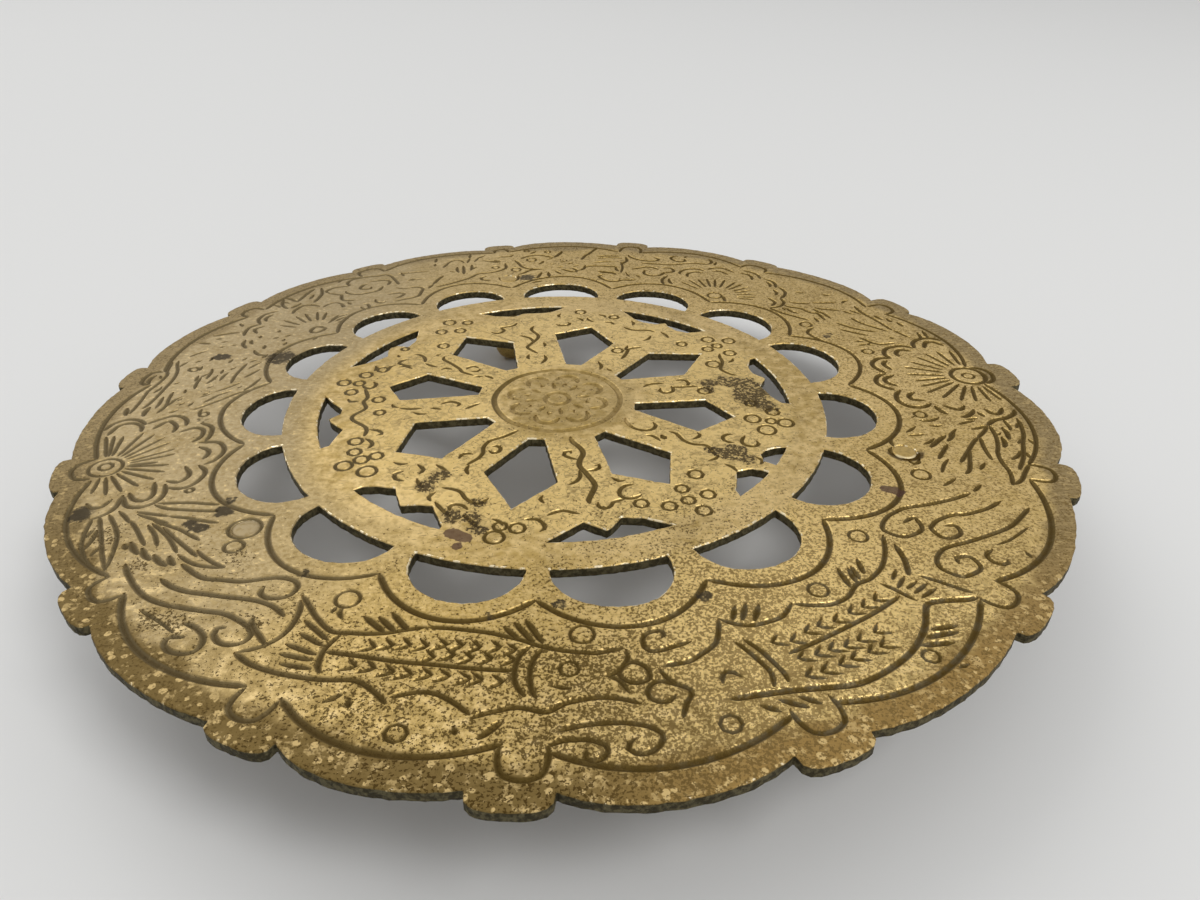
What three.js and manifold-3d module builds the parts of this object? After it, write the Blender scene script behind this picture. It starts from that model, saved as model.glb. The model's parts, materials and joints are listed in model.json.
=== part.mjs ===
// Round pierced brass trivet on three riveted ball feet.
//
// Millimetres, +Z up. The origin is on the table, under the middle of the plate's outline.
// +X is to the right and +Y is away from someone looking at the trivet from its front edge.
// The openings were cut by hand, so each one has its own angles. Angles are in degrees about
// the centre of the piercing, counter-clockwise from +X seen from above.
import * as THREE from 'three';
import * as BufferGeometryUtils from 'three/addons/utils/BufferGeometryUtils.js';
import Module from 'manifold-3d';

const wasm = await Module();
wasm.setup();

// Plate
const plateRadius = 89;
const plateThickness = 1.8;
const standHeight = 21.4;

// Circles that the piercing is set out on
const ringOuterRadius = 50.4;
const ringInnerRadius = 44.2;
const tipRadius = 34.3;
const shoulderRadius = 27.8;
const hubRadius = 15;

// Feet
const ballRadius = 4.1;
const padRadius = 1.6;
const neckRadius = 2.2;
const waistRadius = 1.8;
const collarRadius = 3.1;
const collarThickness = 1;
const tenonRadius = 1.5;
const headRadius = 2.1;
const headDepth = 0.6;
const rivetClearance = 0.15;

// Steps in each curve
const knobSteps = 10;
const lobeSteps = 10;
const moonSteps = 16;
const chordSteps = 6;
const segmentArcSteps = 12;
const ballSteps = 12;
const neckSteps = 6;
const turnedSteps = 32;

// Rim, counter-clockwise. Each row is one knob and the lobe that follows it: the notch before
// the knob, the notch after it as [angle, reach], the knob's reach and the lobe's reach.
// A reach is in mm past plateRadius.
const rim = [
  { before: [265.9, -1.3], after: [272.5, -1.3], knob: 1.3, lobe: 1.3 },
  { before: [290.3, -1.0], after: [296.9, -0.5], knob: 1.8, lobe: 1.3 },
  { before: [315.6, 0.0], after: [322.0, -0.2], knob: 2.2, lobe: 1.8 },
  { before: [339.6, 0.8], after: [346.2, 0.0], knob: 2.9, lobe: 2.7 },
  { before: [4.4, 0.5], after: [10.6, 0.7], knob: 3.6, lobe: 2.8 },
  { before: [28.2, 0.4], after: [34.4, -1.1], knob: 2.5, lobe: 1.2 },
  { before: [53.1, 0.0], after: [59.0, -0.9], knob: 1.3, lobe: 0.9 },
  { before: [76.4, -1.3], after: [82.0, -1.5], knob: 1.3, lobe: 0.0 },
  { before: [100.4, -3.1], after: [105.8, -4.0], knob: -1.3, lobe: -2.7 },
  { before: [124.1, -4.2], after: [130.0, -4.2], knob: -2.4, lobe: -2.7 },
  { before: [147.5, -4.3], after: [153.6, -4.4], knob: -2.2, lobe: -2.9 },
  { before: [172.2, -4.9], after: [178.0, -4.9], knob: -2.7, lobe: -3.6 },
  { before: [195.5, -4.4], after: [202.2, -4.0], knob: -2.2, lobe: -2.2 },
  { before: [220.3, -3.8], after: [226.7, -3.1], knob: -1.3, lobe: -1.3 },
  { before: [244.5, -2.2], after: [250.7, -2.7], knob: -0.4, lobe: 0.0 },
];

// Half-moon openings: the two ends of the straight side on the ring, the angle where the arch is
// highest, and how far it rises there
const moons = [
  { from: 248.3, crown: 258.0, to: 267.5, rise: 8.4 },
  { from: 271.3, crown: 283.0, to: 291.3, rise: 8.9 },
  { from: 296.0, crown: 306.5, to: 315.5, rise: 9.3 },
  { from: 320.7, crown: 330.5, to: 340.0, rise: 9.6 },
  { from: 345.0, crown: 354.5, to: 363.8, rise: 9.4 },
  { from: 8.5, crown: 18.5, to: 29.0, rise: 9.3 },
  { from: 32.5, crown: 42.5, to: 52.7, rise: 8.8 },
  { from: 57.0, crown: 66.5, to: 76.7, rise: 7.9 },
  { from: 81.5, crown: 91.5, to: 101.5, rise: 7.9 },
  { from: 107.0, crown: 116.0, to: 125.0, rise: 7.5 },
  { from: 130.5, crown: 140.0, to: 148.8, rise: 7.5 },
  { from: 154.0, crown: 163.0, to: 172.0, rise: 7.5 },
  { from: 176.8, crown: 187.0, to: 196.2, rise: 7.7 },
  { from: 200.3, crown: 211.0, to: 220.5, rise: 8.5 },
  { from: 224.3, crown: 233.5, to: 244.0, rise: 8.4 },
];

// Pentagon openings round the hub. A corner is [angle, mm past the circle that it is set out on]:
// two on the hub circle, one on each side on the shoulder circle, and the tip on the tip circle.
const pentagons = [
  { hub: [[33.1, -0.1], [41.4, -0.1]], shoulders: [[22.7, -0.8], [47.9, -0.6]], tip: [34.3, 1.0] },
  { hub: [[73.7, -0.1], [85.1, -0.3]], shoulders: [[66.1, -0.7], [93.5, 1.6]], tip: [79.6, -0.7] },
  { hub: [[124.0, 0.4], [133.0, 0.8]], shoulders: [[113.1, -0.9], [140.6, 1.6]], tip: [127.5, 0.1] },
  { hub: [[162.7, 0.5], [174.9, 0.3]], shoulders: [[159.6, 0.3], [182.1, 2.0]], tip: [172.3, -1.0] },
  { hub: [[209.6, -0.3], [219.4, -0.8]], shoulders: [[200.0, -0.7], [228.5, 0.6]], tip: [215.6, -1.0] },
  { hub: [[253.0, 0.3], [263.7, -0.2]], shoulders: [[246.1, -0.2], [272.8, 0.5]], tip: [261.1, 1.8] },
  { hub: [[298.4, 0.3], [307.4, -0.2]], shoulders: [[292.1, -0.2], [317.6, -0.1]], tip: [304.8, 0.3] },
  { hub: [[344.9, 0.2], [354.6, -0.2]], shoulders: [[335.8, 0.5], [360.3, 0.5]], tip: [349.4, -0.7] },
];

// Openings between the ring and the eight-sided frame. Each starts and ends on the ring's inner
// circle. The frame's edge is given as [angle, mm inside that circle]. Near its middle a small
// bracket reaches out towards the ring, and the one at the right front meets it, so the last two
// openings are the halves on either side of that bracket.
const segments = [
  {
    from: 358.6,
    to: 384.5,
    edge: [
      [358.9, 1.4], [362.6, 3.1], [368.4, 4.1], [372.7, 2.1], [375.9, 3.6],
      [379.9, 3.4], [384.4, 1.2],
    ],
  },
  {
    from: 45.4,
    to: 72.8,
    edge: [
      [46.4, 1.6], [48.3, 3.5], [51.5, 4.1], [55.6, 3.2], [57.2, 2.2],
      [59.9, 3.9], [63.5, 4.3], [67.3, 3.4], [69.2, 2.3],
    ],
  },
  {
    from: 89.9,
    to: 116.0,
    edge: [
      [94.0, 2.8], [97.0, 3.4], [103.5, 3.1], [106.8, 4.3], [112.3, 2.7],
    ],
  },
  {
    from: 136.2,
    to: 163.5,
    edge: [
      [138.3, 1.8], [141.7, 4.0], [145.9, 4.8], [147.2, 2.6], [149.3, 2.1],
      [151.0, 2.5], [154.0, 4.2], [157.0, 3.5], [162.0, 1.2],
    ],
  },
  {
    from: 179.8,
    to: 204.6,
    edge: [
      [183.4, 2.0], [186.8, 4.0], [189.5, 3.8], [191.6, 2.0], [193.7, 2.5],
      [197.6, 4.4], [201.0, 2.8], [204.2, 1.3],
    ],
  },
  {
    from: 224.4,
    to: 248.6,
    edge: [
      [224.6, 1.5], [226.9, 3.4], [230.7, 4.9], [232.9, 3.8], [236.6, 2.1],
      [239.2, 3.6], [242.5, 4.7], [245.3, 3.1], [248.4, 0.9],
    ],
  },
  {
    from: 270.2,
    to: 296.4,
    edge: [
      [274.7, 2.9], [278.3, 4.8], [282.9, 2.1], [284.5, 2.9], [287.3, 4.8],
      [291.8, 3.5],
    ],
  },
  {
    from: 314.3,
    to: 326.0,
    edge: [
      [315.4, 1.4], [319.9, 3.6], [321.8, 4.6], [325.1, 2.9], [325.9, 1.4],
    ],
  },
  {
    from: 329.4,
    to: 338.0,
    edge: [
      [329.6, 2.2], [332.2, 3.4], [334.4, 3.1], [336.8, 1.6],
    ],
  },
];

// Where each foot is riveted through the plate, as [angle, share]. The share is how far the
// rivet is along the way from the ring's outer circle to plateRadius.
const feet = {
  right_foot: [343.7, 0.347],
  back_foot: [103.7, 0.332],
  left_foot: [222.3, 0.285],
};

// Shape of the curves: how square a knob's top, a lobe's crown and a half-moon's arch are
const knobSquareness = 3;
const lobeFlatness = 2.5;
const moonRoundness = 2;

function polar(angle, radius) {
  const turn = THREE.MathUtils.degToRad(angle);
  return new THREE.Vector2(radius * Math.cos(turn), radius * Math.sin(turn));
}

// Points of an arch over a crown. start, crown and end are each [angle, radius]. side runs from
// -1 at the start over 0 at the crown to 1 at the end.
function arch(start, crown, end, power, root, steps) {
  const points = [];
  for (let i = 0; i <= steps; i += 1) {
    const side = -Math.cos((Math.PI * i) / steps);
    const angle = THREE.MathUtils.lerp(crown[0], side < 0 ? start[0] : end[0], Math.abs(side));
    const base = THREE.MathUtils.lerp(start[1], end[1], (side + 1) / 2);
    const swell = (1 - Math.abs(side) ** power) ** (1 / root);
    points.push(polar(angle, base + (crown[1] - base) * swell));
  }
  return points;
}

function arc(fromAngle, toAngle, radius, steps) {
  const points = [];
  for (let i = 0; i <= steps; i += 1) {
    points.push(polar(THREE.MathUtils.lerp(fromAngle, toAngle, i / steps), radius));
  }
  return points;
}

// Each curve gives up its last point, because the next curve starts there
function joined(...curves) {
  return curves.flatMap((points) => points.slice(0, -1));
}

function rimOutline() {
  const reach = ([angle, past]) => [angle, plateRadius + past];
  const crownBetween = (start, end, past) => reach([(start[0] + end[0]) / 2, past]);
  const curves = rim.flatMap((row, index) => {
    const next = rim[(index + 1) % rim.length];
    const knobStart = reach(row.before);
    const lobeStart = reach(row.after);
    const lobeEnd = reach(next.before);
    if (lobeEnd[0] < lobeStart[0]) lobeEnd[0] += 360;
    const knobCrown = crownBetween(knobStart, lobeStart, row.knob);
    const lobeCrown = crownBetween(lobeStart, lobeEnd, row.lobe);
    return [
      arch(knobStart, knobCrown, lobeStart, knobSquareness, knobSquareness, knobSteps),
      arch(lobeStart, lobeCrown, lobeEnd, lobeFlatness, 1, lobeSteps),
    ];
  });
  return joined(...curves);
}

function moonOutline({ from, crown, to, rise }) {
  const spring = [from, ringOuterRadius];
  const top = [crown, ringOuterRadius + rise];
  const landing = [to, ringOuterRadius];
  return joined(
    arch(spring, top, landing, moonRoundness, moonRoundness, moonSteps),
    arc(to, from, ringOuterRadius, chordSteps),
  );
}

function pentagonOutline({ hub, shoulders, tip }) {
  const corner = ([angle, past], radius) => polar(angle, radius + past);
  return [
    corner(hub[0], hubRadius),
    corner(shoulders[0], shoulderRadius),
    corner(tip, tipRadius),
    corner(shoulders[1], shoulderRadius),
    corner(hub[1], hubRadius),
  ];
}

function segmentOutline({ from, to, edge }) {
  return [
    ...arc(to, from, ringInnerRadius, segmentArcSteps),
    ...edge.map(([angle, inside]) => polar(angle, ringInnerRadius - inside)),
  ];
}

// The piercing's centre is where it falls when the plate's outline is centred on the origin
const outline = rimOutline();
const outlineBox = new THREE.Box2().setFromPoints(outline);
const piercingCentre = outlineBox.getCenter(new THREE.Vector2()).negate();
const plateUnderside = standHeight - plateThickness;

function solidOf(geometry) {
  const bare = geometry.clone();
  bare.deleteAttribute('normal');
  bare.deleteAttribute('uv');
  const merged = BufferGeometryUtils.mergeVertices(bare);
  return new wasm.Manifold(
    new wasm.Mesh({
      numProp: 3,
      vertProperties: new Float32Array(merged.attributes.position.array),
      triVerts: new Uint32Array(merged.index.array),
    }),
  );
}

function geometryOf(solid) {
  const { vertProperties, triVerts } = solid.getMesh();
  const geometry = new THREE.BufferGeometry();
  geometry.setAttribute('position', new THREE.BufferAttribute(vertProperties, 3));
  geometry.setIndex(new THREE.BufferAttribute(triVerts, 1));
  geometry.computeVertexNormals();
  return geometry;
}

// A turned profile, as [radius, height] points from the axis round to the axis, stood along +Z
function turned(profile) {
  const geometry = new THREE.LatheGeometry(
    profile.map(([radius, height]) => new THREE.Vector2(radius, height)),
    turnedSteps,
  );
  return geometry.rotateX(Math.PI / 2);
}

// Rivet hole, measured from the plate's underside: straight, then opened out for the head.
// The cutter runs past both faces of the plate.
function rivetHoleCutter() {
  const bore = tenonRadius + rivetClearance;
  const mouth = headRadius + rivetClearance;
  const slope = (mouth - bore) / headDepth;
  const past = 1;
  return turned([
    [0, -past],
    [bore, -past],
    [bore, plateThickness - headDepth],
    [mouth + slope * past, plateThickness + past],
    [0, plateThickness + past],
  ]);
}

function footPlace([angle, share]) {
  return polar(angle, THREE.MathUtils.lerp(ringOuterRadius, plateRadius, share));
}

function plateGeometry() {
  const shape = new THREE.Shape(outline);
  const openings = [
    ...moons.map(moonOutline),
    ...pentagons.map(pentagonOutline),
    ...segments.map(segmentOutline),
  ];
  shape.holes = openings.map((points) => new THREE.Path(points));
  const sheet = new THREE.ExtrudeGeometry(shape, { depth: plateThickness, bevelEnabled: false });
  let plate = solidOf(sheet);
  for (const place of Object.values(feet).map(footPlace)) {
    plate = plate.subtract(solidOf(rivetHoleCutter().translate(place.x, place.y, 0)));
  }
  return geometryOf(plate);
}

// Ball, waisted neck, collar under the plate, tenon, and a head hammered flush with the top
function footProfile() {
  const ballCentre = Math.sqrt(ballRadius ** 2 - padRadius ** 2);
  const ballTop = ballCentre + Math.sqrt(ballRadius ** 2 - neckRadius ** 2);
  const collarUnderside = plateUnderside - collarThickness;
  const startAngle = Math.atan2(-ballCentre, padRadius);
  const endAngle = Math.atan2(ballTop - ballCentre, neckRadius);
  const profile = [[0, 0]];
  for (let i = 0; i <= ballSteps; i += 1) {
    const angle = THREE.MathUtils.lerp(startAngle, endAngle, i / ballSteps);
    profile.push([ballRadius * Math.cos(angle), ballCentre + ballRadius * Math.sin(angle)]);
  }
  for (let i = 1; i <= neckSteps; i += 1) {
    const share = i / neckSteps;
    const hollow = (neckRadius - waistRadius) * Math.sin(Math.PI * share);
    profile.push([neckRadius - hollow, THREE.MathUtils.lerp(ballTop, collarUnderside, share)]);
  }
  profile.push(
    [collarRadius, collarUnderside],
    [collarRadius, plateUnderside],
    [tenonRadius, plateUnderside],
    [tenonRadius, standHeight - headDepth],
    [headRadius, standHeight],
    [0, standHeight],
  );
  return profile;
}

const brass = new THREE.MeshStandardMaterial({ color: 0xb8985a, roughness: 0.42, metalness: 0.9 });
const turnedBrass = new THREE.MeshStandardMaterial({
  color: 0x8c6c34,
  roughness: 0.38,
  metalness: 0.9,
});

const trivet = new THREE.Group();

const plate = new THREE.Mesh(plateGeometry(), brass);
plate.name = 'plate';
plate.position.set(piercingCentre.x, piercingCentre.y, plateUnderside);
trivet.add(plate);

for (const [name, rivet] of Object.entries(feet)) {
  const foot = new THREE.Mesh(turned(footProfile()), turnedBrass);
  foot.name = name;
  const place = footPlace(rivet).add(piercingCentre);
  foot.position.set(place.x, place.y, 0);
  trivet.add(foot);
}

export default trivet;
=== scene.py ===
import json
import math
import random
from types import SimpleNamespace

import bmesh
import bpy
from bpy.props import FloatProperty, FloatVectorProperty, PointerProperty
from mathutils import Matrix, Vector

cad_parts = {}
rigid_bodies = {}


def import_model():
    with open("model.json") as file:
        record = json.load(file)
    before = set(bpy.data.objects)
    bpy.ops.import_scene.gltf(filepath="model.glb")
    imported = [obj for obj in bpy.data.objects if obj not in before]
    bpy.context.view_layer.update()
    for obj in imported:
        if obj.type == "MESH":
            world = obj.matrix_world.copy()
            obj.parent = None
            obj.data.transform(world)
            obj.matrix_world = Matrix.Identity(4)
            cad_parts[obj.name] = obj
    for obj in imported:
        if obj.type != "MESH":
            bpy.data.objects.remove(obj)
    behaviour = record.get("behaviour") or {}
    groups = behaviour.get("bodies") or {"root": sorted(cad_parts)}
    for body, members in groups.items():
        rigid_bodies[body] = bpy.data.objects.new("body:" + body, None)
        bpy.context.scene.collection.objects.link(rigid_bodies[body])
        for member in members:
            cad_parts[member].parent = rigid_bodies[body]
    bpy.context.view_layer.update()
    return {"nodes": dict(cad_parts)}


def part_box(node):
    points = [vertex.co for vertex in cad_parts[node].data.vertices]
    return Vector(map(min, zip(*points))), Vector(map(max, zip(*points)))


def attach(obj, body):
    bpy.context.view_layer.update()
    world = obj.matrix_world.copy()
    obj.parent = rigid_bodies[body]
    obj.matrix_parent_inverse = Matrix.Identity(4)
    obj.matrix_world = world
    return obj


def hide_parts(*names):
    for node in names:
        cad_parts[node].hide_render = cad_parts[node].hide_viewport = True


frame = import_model()

bl_info = {
    "name": "Pierced brass trivet",
    "version": (1, 0, 0),
    "blender": (4, 5, 0),
    "location": "View3D > Sidebar > Trivet",
    "description": "An engraved and pierced round brass trivet on three turned feet",
    "category": "Object",
}

MM = 0.001

# The plate as it is set out. Angles are in degrees about the centre of the piercing,
# counter-clockwise from +X. Reaches, x and y from that centre and the sizes of small rings
# are in thousandths of PLATE_RADIUS.
PLATE_RADIUS = 89 * MM
PIERCING_CENTRE = Vector((-2.9498 * MM, 0.6554 * MM))
PLATE_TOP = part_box("plate")[1].z
PLATE_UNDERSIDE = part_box("plate")[0].z
FOOT_AXES = {
    node: sum(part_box(node), Vector()) / 2
    for node in ("right_foot", "back_foot", "left_foot")
}
RIGHT_RIVET = FOOT_AXES["right_foot"]


def thousandths(number):
    return number / 1000


def polar(angle, reach):
    turn = math.radians(angle)
    spoke = Vector((math.cos(turn), math.sin(turn)))
    return PIERCING_CENTRE + spoke * thousandths(reach) * PLATE_RADIUS


def plain(x, y):
    return PIERCING_CENTRE + Vector((thousandths(x), thousandths(y))) * PLATE_RADIUS


def length_property(name, description, default, least, most):
    """A length in millimetres."""
    return FloatProperty(
        name=name, description=description, default=default * MM,
        min=least * MM, max=most * MM, unit="LENGTH",
    )


def colour_property(name, description, default):
    return FloatVectorProperty(
        name=name, description=description, default=default,
        size=3, min=0, max=1, subtype="COLOR",
    )


class TrivetPlateSettings(bpy.types.PropertyGroup):
    edge_width: length_property(
        "Edge width", "How far the sawn edges are rounded over", 0.22, 0.05, 0.4)
    groove_width: length_property(
        "Groove width", "Width of an ordinary graver stroke at the plate's top", 0.98, 0.3, 1.5)
    groove_depth: length_property(
        "Groove depth", "Depth of an ordinary graver stroke", 0.42, 0.1, 0.8)


class TrivetColourSettings(bpy.types.PropertyGroup):
    gold: colour_property("Brass", "Clean brass", (0.50, 0.345, 0.112))
    rubbed: colour_property("Rubbed brass", "Brass where hands keep it bright", (0.76, 0.56, 0.25))
    tan: colour_property(
        "Pale brass", "Brass under a thin even tarnish, towards the left", (0.40, 0.31, 0.17))
    dull: colour_property("Dull brass", "Cloudy patches on the brass", (0.28, 0.19, 0.058))
    brown: colour_property("Tarnish", "Thick tarnish along the rim", (0.215, 0.145, 0.048))
    # Pit dirt, and also the colour of the painted shadow by the right rivet's head
    pit_dirt_and_shadow: colour_property("Pits", "Dirt in the small corroded pits", (0.066, 0.037, 0.006))
    groove: colour_property(
        "Groove dirt", "Old polish and dirt in the strokes", (0.110, 0.071, 0.017))
    grey_groove: colour_property(
        "Grey groove dirt", "Greyer dirt, towards the left", (0.145, 0.112, 0.058))


class TrivetFeetSettings(bpy.types.PropertyGroup):
    ball: length_property(
        "Ball radius", "Radius of the ball that the trivet stands on", 4.1, 3.5, 4.1)
    neck: length_property("Neck radius", "Radius where the neck meets the ball", 2.2, 1.9, 2.2)
    waist: length_property("Waist radius", "Radius of the neck's middle", 1.8, 1.5, 2.0)
    head: length_property(
        "Rivet head radius", "Radius of the head that is hammered into the plate", 2.1, 1.7, 2.1)


class TrivetStageSettings(bpy.types.PropertyGroup):
    floor: colour_property("Floor", "Colour of the floor", (0.72, 0.72, 0.71))
    lens: FloatProperty(
        name="Lens",
        description="Focal length on a sensor 36 mm wide",
        default=26.809, min=10, max=200, unit="CAMERA",
    )


class Value:
    """A shader socket that takes part in Python's arithmetic."""

    def __init__(self, shader, socket):
        self.shader = shader
        self.socket = socket

    def maths(self, operation, *others):
        return self.shader.node("ShaderNodeMath", {"operation": operation}, [self, *others])

    def __add__(self, other):
        return self.maths("ADD", other)

    def __sub__(self, other):
        return self.maths("SUBTRACT", other)

    def __mul__(self, other):
        return self.maths("MULTIPLY", other)

    def __rsub__(self, other):
        return self.shader.node("ShaderNodeMath", {"operation": "SUBTRACT"}, [other, self])

    __radd__ = __add__
    __rmul__ = __mul__


class Shader:
    """Builds one material's nodes."""

    SPOT_CORE = 0.35
    SCRATCH_GRAIN = (420, 5200, 1)

    def __init__(self, name):
        self.material = bpy.data.materials.new(name)
        self.material.use_nodes = True
        self.tree = self.material.node_tree
        self.bsdf = self.tree.nodes["Principled BSDF"]
        self.place = Value(self, self.node("ShaderNodeTexCoord", {}, [], "Object").socket)

    def node(self, kind, settings, inputs, output=0):
        """Adds a node. inputs is a list in socket order, or a dict by socket name or number."""
        made = self.tree.nodes.new(kind)
        for name, value in settings.items():
            setattr(made, name, value)
        pairs = inputs.items() if isinstance(inputs, dict) else enumerate(inputs)
        for key, value in pairs:
            if isinstance(value, Value):
                self.tree.links.new(value.socket, made.inputs[key])
            else:
                made.inputs[key].default_value = value
        return Value(self, made.outputs[output])

    def vector(self, operation, inputs, output=0):
        return self.node("ShaderNodeVectorMath", {"operation": operation}, inputs, output)

    def mix(self, factor, first, second):
        """Blends two colours, or two links to colours."""
        full = [c if isinstance(c, Value) else (*c, 1) for c in (first, second)]
        return self.node(
            "ShaderNodeMix", {"data_type": "RGBA"}, {0: factor, 6: full[0], 7: full[1]}, 2)

    def noise(self, scale, detail=3, roughness=0.5, where=None, output=0):
        return self.node(
            "ShaderNodeTexNoise", {},
            {"Vector": where or self.place, "Scale": scale, "Detail": detail,
             "Roughness": roughness},
            output,
        )

    def step(self, value, low, high):
        """0 before low and 1 past high, smooth between them. low may be the higher number."""
        return self.node(
            "ShaderNodeMapRange", {"interpolation_type": "SMOOTHSTEP"},
            {"Value": value, "From Min": low, "From Max": high},
        )

    def split(self, vector):
        parts = self.node("ShaderNodeSeparateXYZ", {}, [vector])
        return [Value(self, parts.socket.node.outputs[i]) for i in range(3)]

    def clamp(self, value):
        return self.node("ShaderNodeClamp", {}, [value])

    def mapped(self, turn, grain):
        """Places turned about the upright axis and stretched, for marks that lie one way."""
        return self.node(
            "ShaderNodeMapping", {},
            {"Vector": self.place, "Rotation": (0, 0, turn), "Scale": grain})

    def scratches(self, turn, where_many):
        """Short fine scratches that all run one way, only where another noise is high."""
        lines = self.noise(1, 1, 0.5, self.mapped(turn, self.SCRATCH_GRAIN))
        return self.step(lines, 0.68, 0.73) * self.step(where_many, 0.44, 0.6)

    def feed(self, name, value):
        self.tree.links.new(value.socket, self.bsdf.inputs[name])

    def from_axis(self, axis):
        """Distance from an upright line."""
        flat = self.vector("MULTIPLY", [self.place, (1, 1, 0)])
        return self.vector("DISTANCE", [flat, (axis.x, axis.y, 0)], "Value")

    def spot(self, centre, size, where=None):
        """1 at a place on the plate, falling to 0 at size away from it."""
        away = self.vector("DISTANCE", [where or self.place, (*centre, PLATE_TOP)], "Value")
        return self.step(away, size, size * self.SPOT_CORE)

    def bump(self, height, strength):
        """Feeds the surface with a height in millimetres."""
        self.feed("Normal", self.node(
            "ShaderNodeBump", {}, {"Height": height, "Distance": 1 * MM, "Strength": strength}))


class Coat:
    """A colour, and the colours that are laid over it one after another."""

    def __init__(self, shader, colour):
        self.shader = shader
        self.colour = colour

    def lay(self, colour, where, strength=None):
        factor = where * strength if strength else where
        self.colour = self.shader.mix(factor, self.colour, colour)


def swing(noise, span):
    """A noise that swings evenly about zero."""
    return (noise - 0.5) * span


# Scale, detail and roughness of the noises on the brass, from the widest to the finest
BROAD = (30, 3, 0.5)
PATCH = (170, 4, 0.6)
BLOT = (520, 3, 0.55)
MOTTLE = (1250, 3, 0.6)
SPECK = (2400, 2, 0.65)

# Where one zone of the plate fades into the next, as distances from its middle
HUB_FADE = (12.6 * MM, 11 * MM)
SPOKES_START = (13 * MM, 17 * MM)
SPOKES_END = (43 * MM, 39 * MM)
INNER_FADE = (52 * MM, 46 * MM)
FLAKES_FADE = (68 * MM, 80 * MM)
RIM_FADE = (82 * MM, 85 * MM)

# Colours of single places, which the panel doesn't offer
BAND_BRASS = (0.70, 0.49, 0.165)
FRONT_BRASS = (0.97, 0.715, 0.29)
SPOKE_BRASS = (0.86, 0.63, 0.25)
CURL_LINE = (0.17, 0.115, 0.042)
PALE_FLAKE = (0.90, 0.68, 0.33)
FRONT_RIM = (0.46, 0.285, 0.088)
SHALLOW_PIT = (0.20, 0.128, 0.040)
ASHEN_DIRT = (0.135, 0.118, 0.078)
STAIN = (0.050, 0.038, 0.022)
CRUST = (0.062, 0.042, 0.019)
RED_SPOT = (0.10, 0.052, 0.036)
WALL_DIRT_AND_SHADE = (0.030, 0.027, 0.015)
WALL_BRASS = (0.115, 0.10, 0.055)
EDGE_GLINT = (0.92, 0.80, 0.55)
RIVET_GLINT = (0.82, 0.69, 0.42)

# Stains on the plate: angle, reach, size in mm, and how strong each is
DARK_STAINS = [
    (217, 760, 2.2, 0.9), (216.5, 700, 2.4, 0.9), (214, 680, 1.8, 0.7), (208, 917, 3, 0.9),
    (164, 675, 5, 0.8), (166.8, 807, 2.6, 0.9), (99.5, 710, 3.2, 0.8), (27, 730, 2.2, 0.6),
    (218.5, 745, 1.8, 0.8), (273, 652, 1.6, 0.7), (292.3, 677, 1.8, 0.8), (264, 683, 1.4, 0.6),
    (237, 694, 1.6, 0.8), (188, 730, 2, 0.4),
]

# Corroded places and red spots: x, y, and size in mm
CRUSTS = [
    (330, 78, 2.6), (375, 85, 3.6), (415, 70, 4.6), (440, 40, 4), (400, 20, 4), (425, 0, 3.4),
    (450, -30, 3), (330, 45, 2.2), (-205, -300, 3), (-225, -335, 3), (-166, -425, 3.2),
    (-125, -390, 2.6), (-128, -432, 2.4), (-114, -463, 2.4), (345, -215, 3.6), (375, -232, 3),
    (310, -200, 2.2), (360, -200, 2.4),
]
RED_SPOTS = [
    (-158, -474, 1.7), (-146, -480, 1.7), (-134, -487, 1.6), (-144, -510, 1.2), (618, -331, 1.5),
    (636, -338, 1.7),
]

# Places where the pits crowd: angle, reach, and size in mm
PIT_NESTS = [
    (230.5, 895, 3.6), (228, 730, 3.6), (238.5, 810, 2.6), (213.5, 890, 5), (221, 860, 3),
    (233, 880, 3),
]


def plate_zones(s):
    """The noises and masks that tell places on the plate apart. The layers add theirs to it."""
    x, y, z = s.split(s.place)
    broad, patch, blot = s.noise(*BROAD), s.noise(*PATCH), s.noise(*BLOT)
    mottle, speck = s.noise(*MOTTLE), s.noise(*SPECK)
    from_middle = s.from_axis(Vector((0, 0)))
    inner = s.step(from_middle, *INNER_FADE)
    return SimpleNamespace(
        x=x, y=y, depth=PLATE_TOP - z, from_middle=from_middle,
        broad=broad, patch=patch, blot=blot, mottle=mottle, speck=speck,
        coarse=blot * 0.6 + mottle * 0.4,
        sawn=s.node("ShaderNodeAttribute", {"attribute_name": "sawn"}, [], "Fac"),
        front=s.step(y * -1 - x * 0.1 + swing(broad, 36 * MM), 14 * MM, 66 * MM),
        left=s.step(x * -1 + swing(broad, 40 * MM), 8 * MM, 55 * MM),
        right=s.step(x + swing(broad, 30 * MM), -2 * MM, 34 * MM),
        rim=s.step(from_middle + swing(patch, 6 * MM), *RIM_FADE),
        inner=inner, band=1 - inner,
        spokes=s.step(from_middle, *SPOKES_START) * s.step(from_middle, *SPOKES_END),
    )


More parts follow.
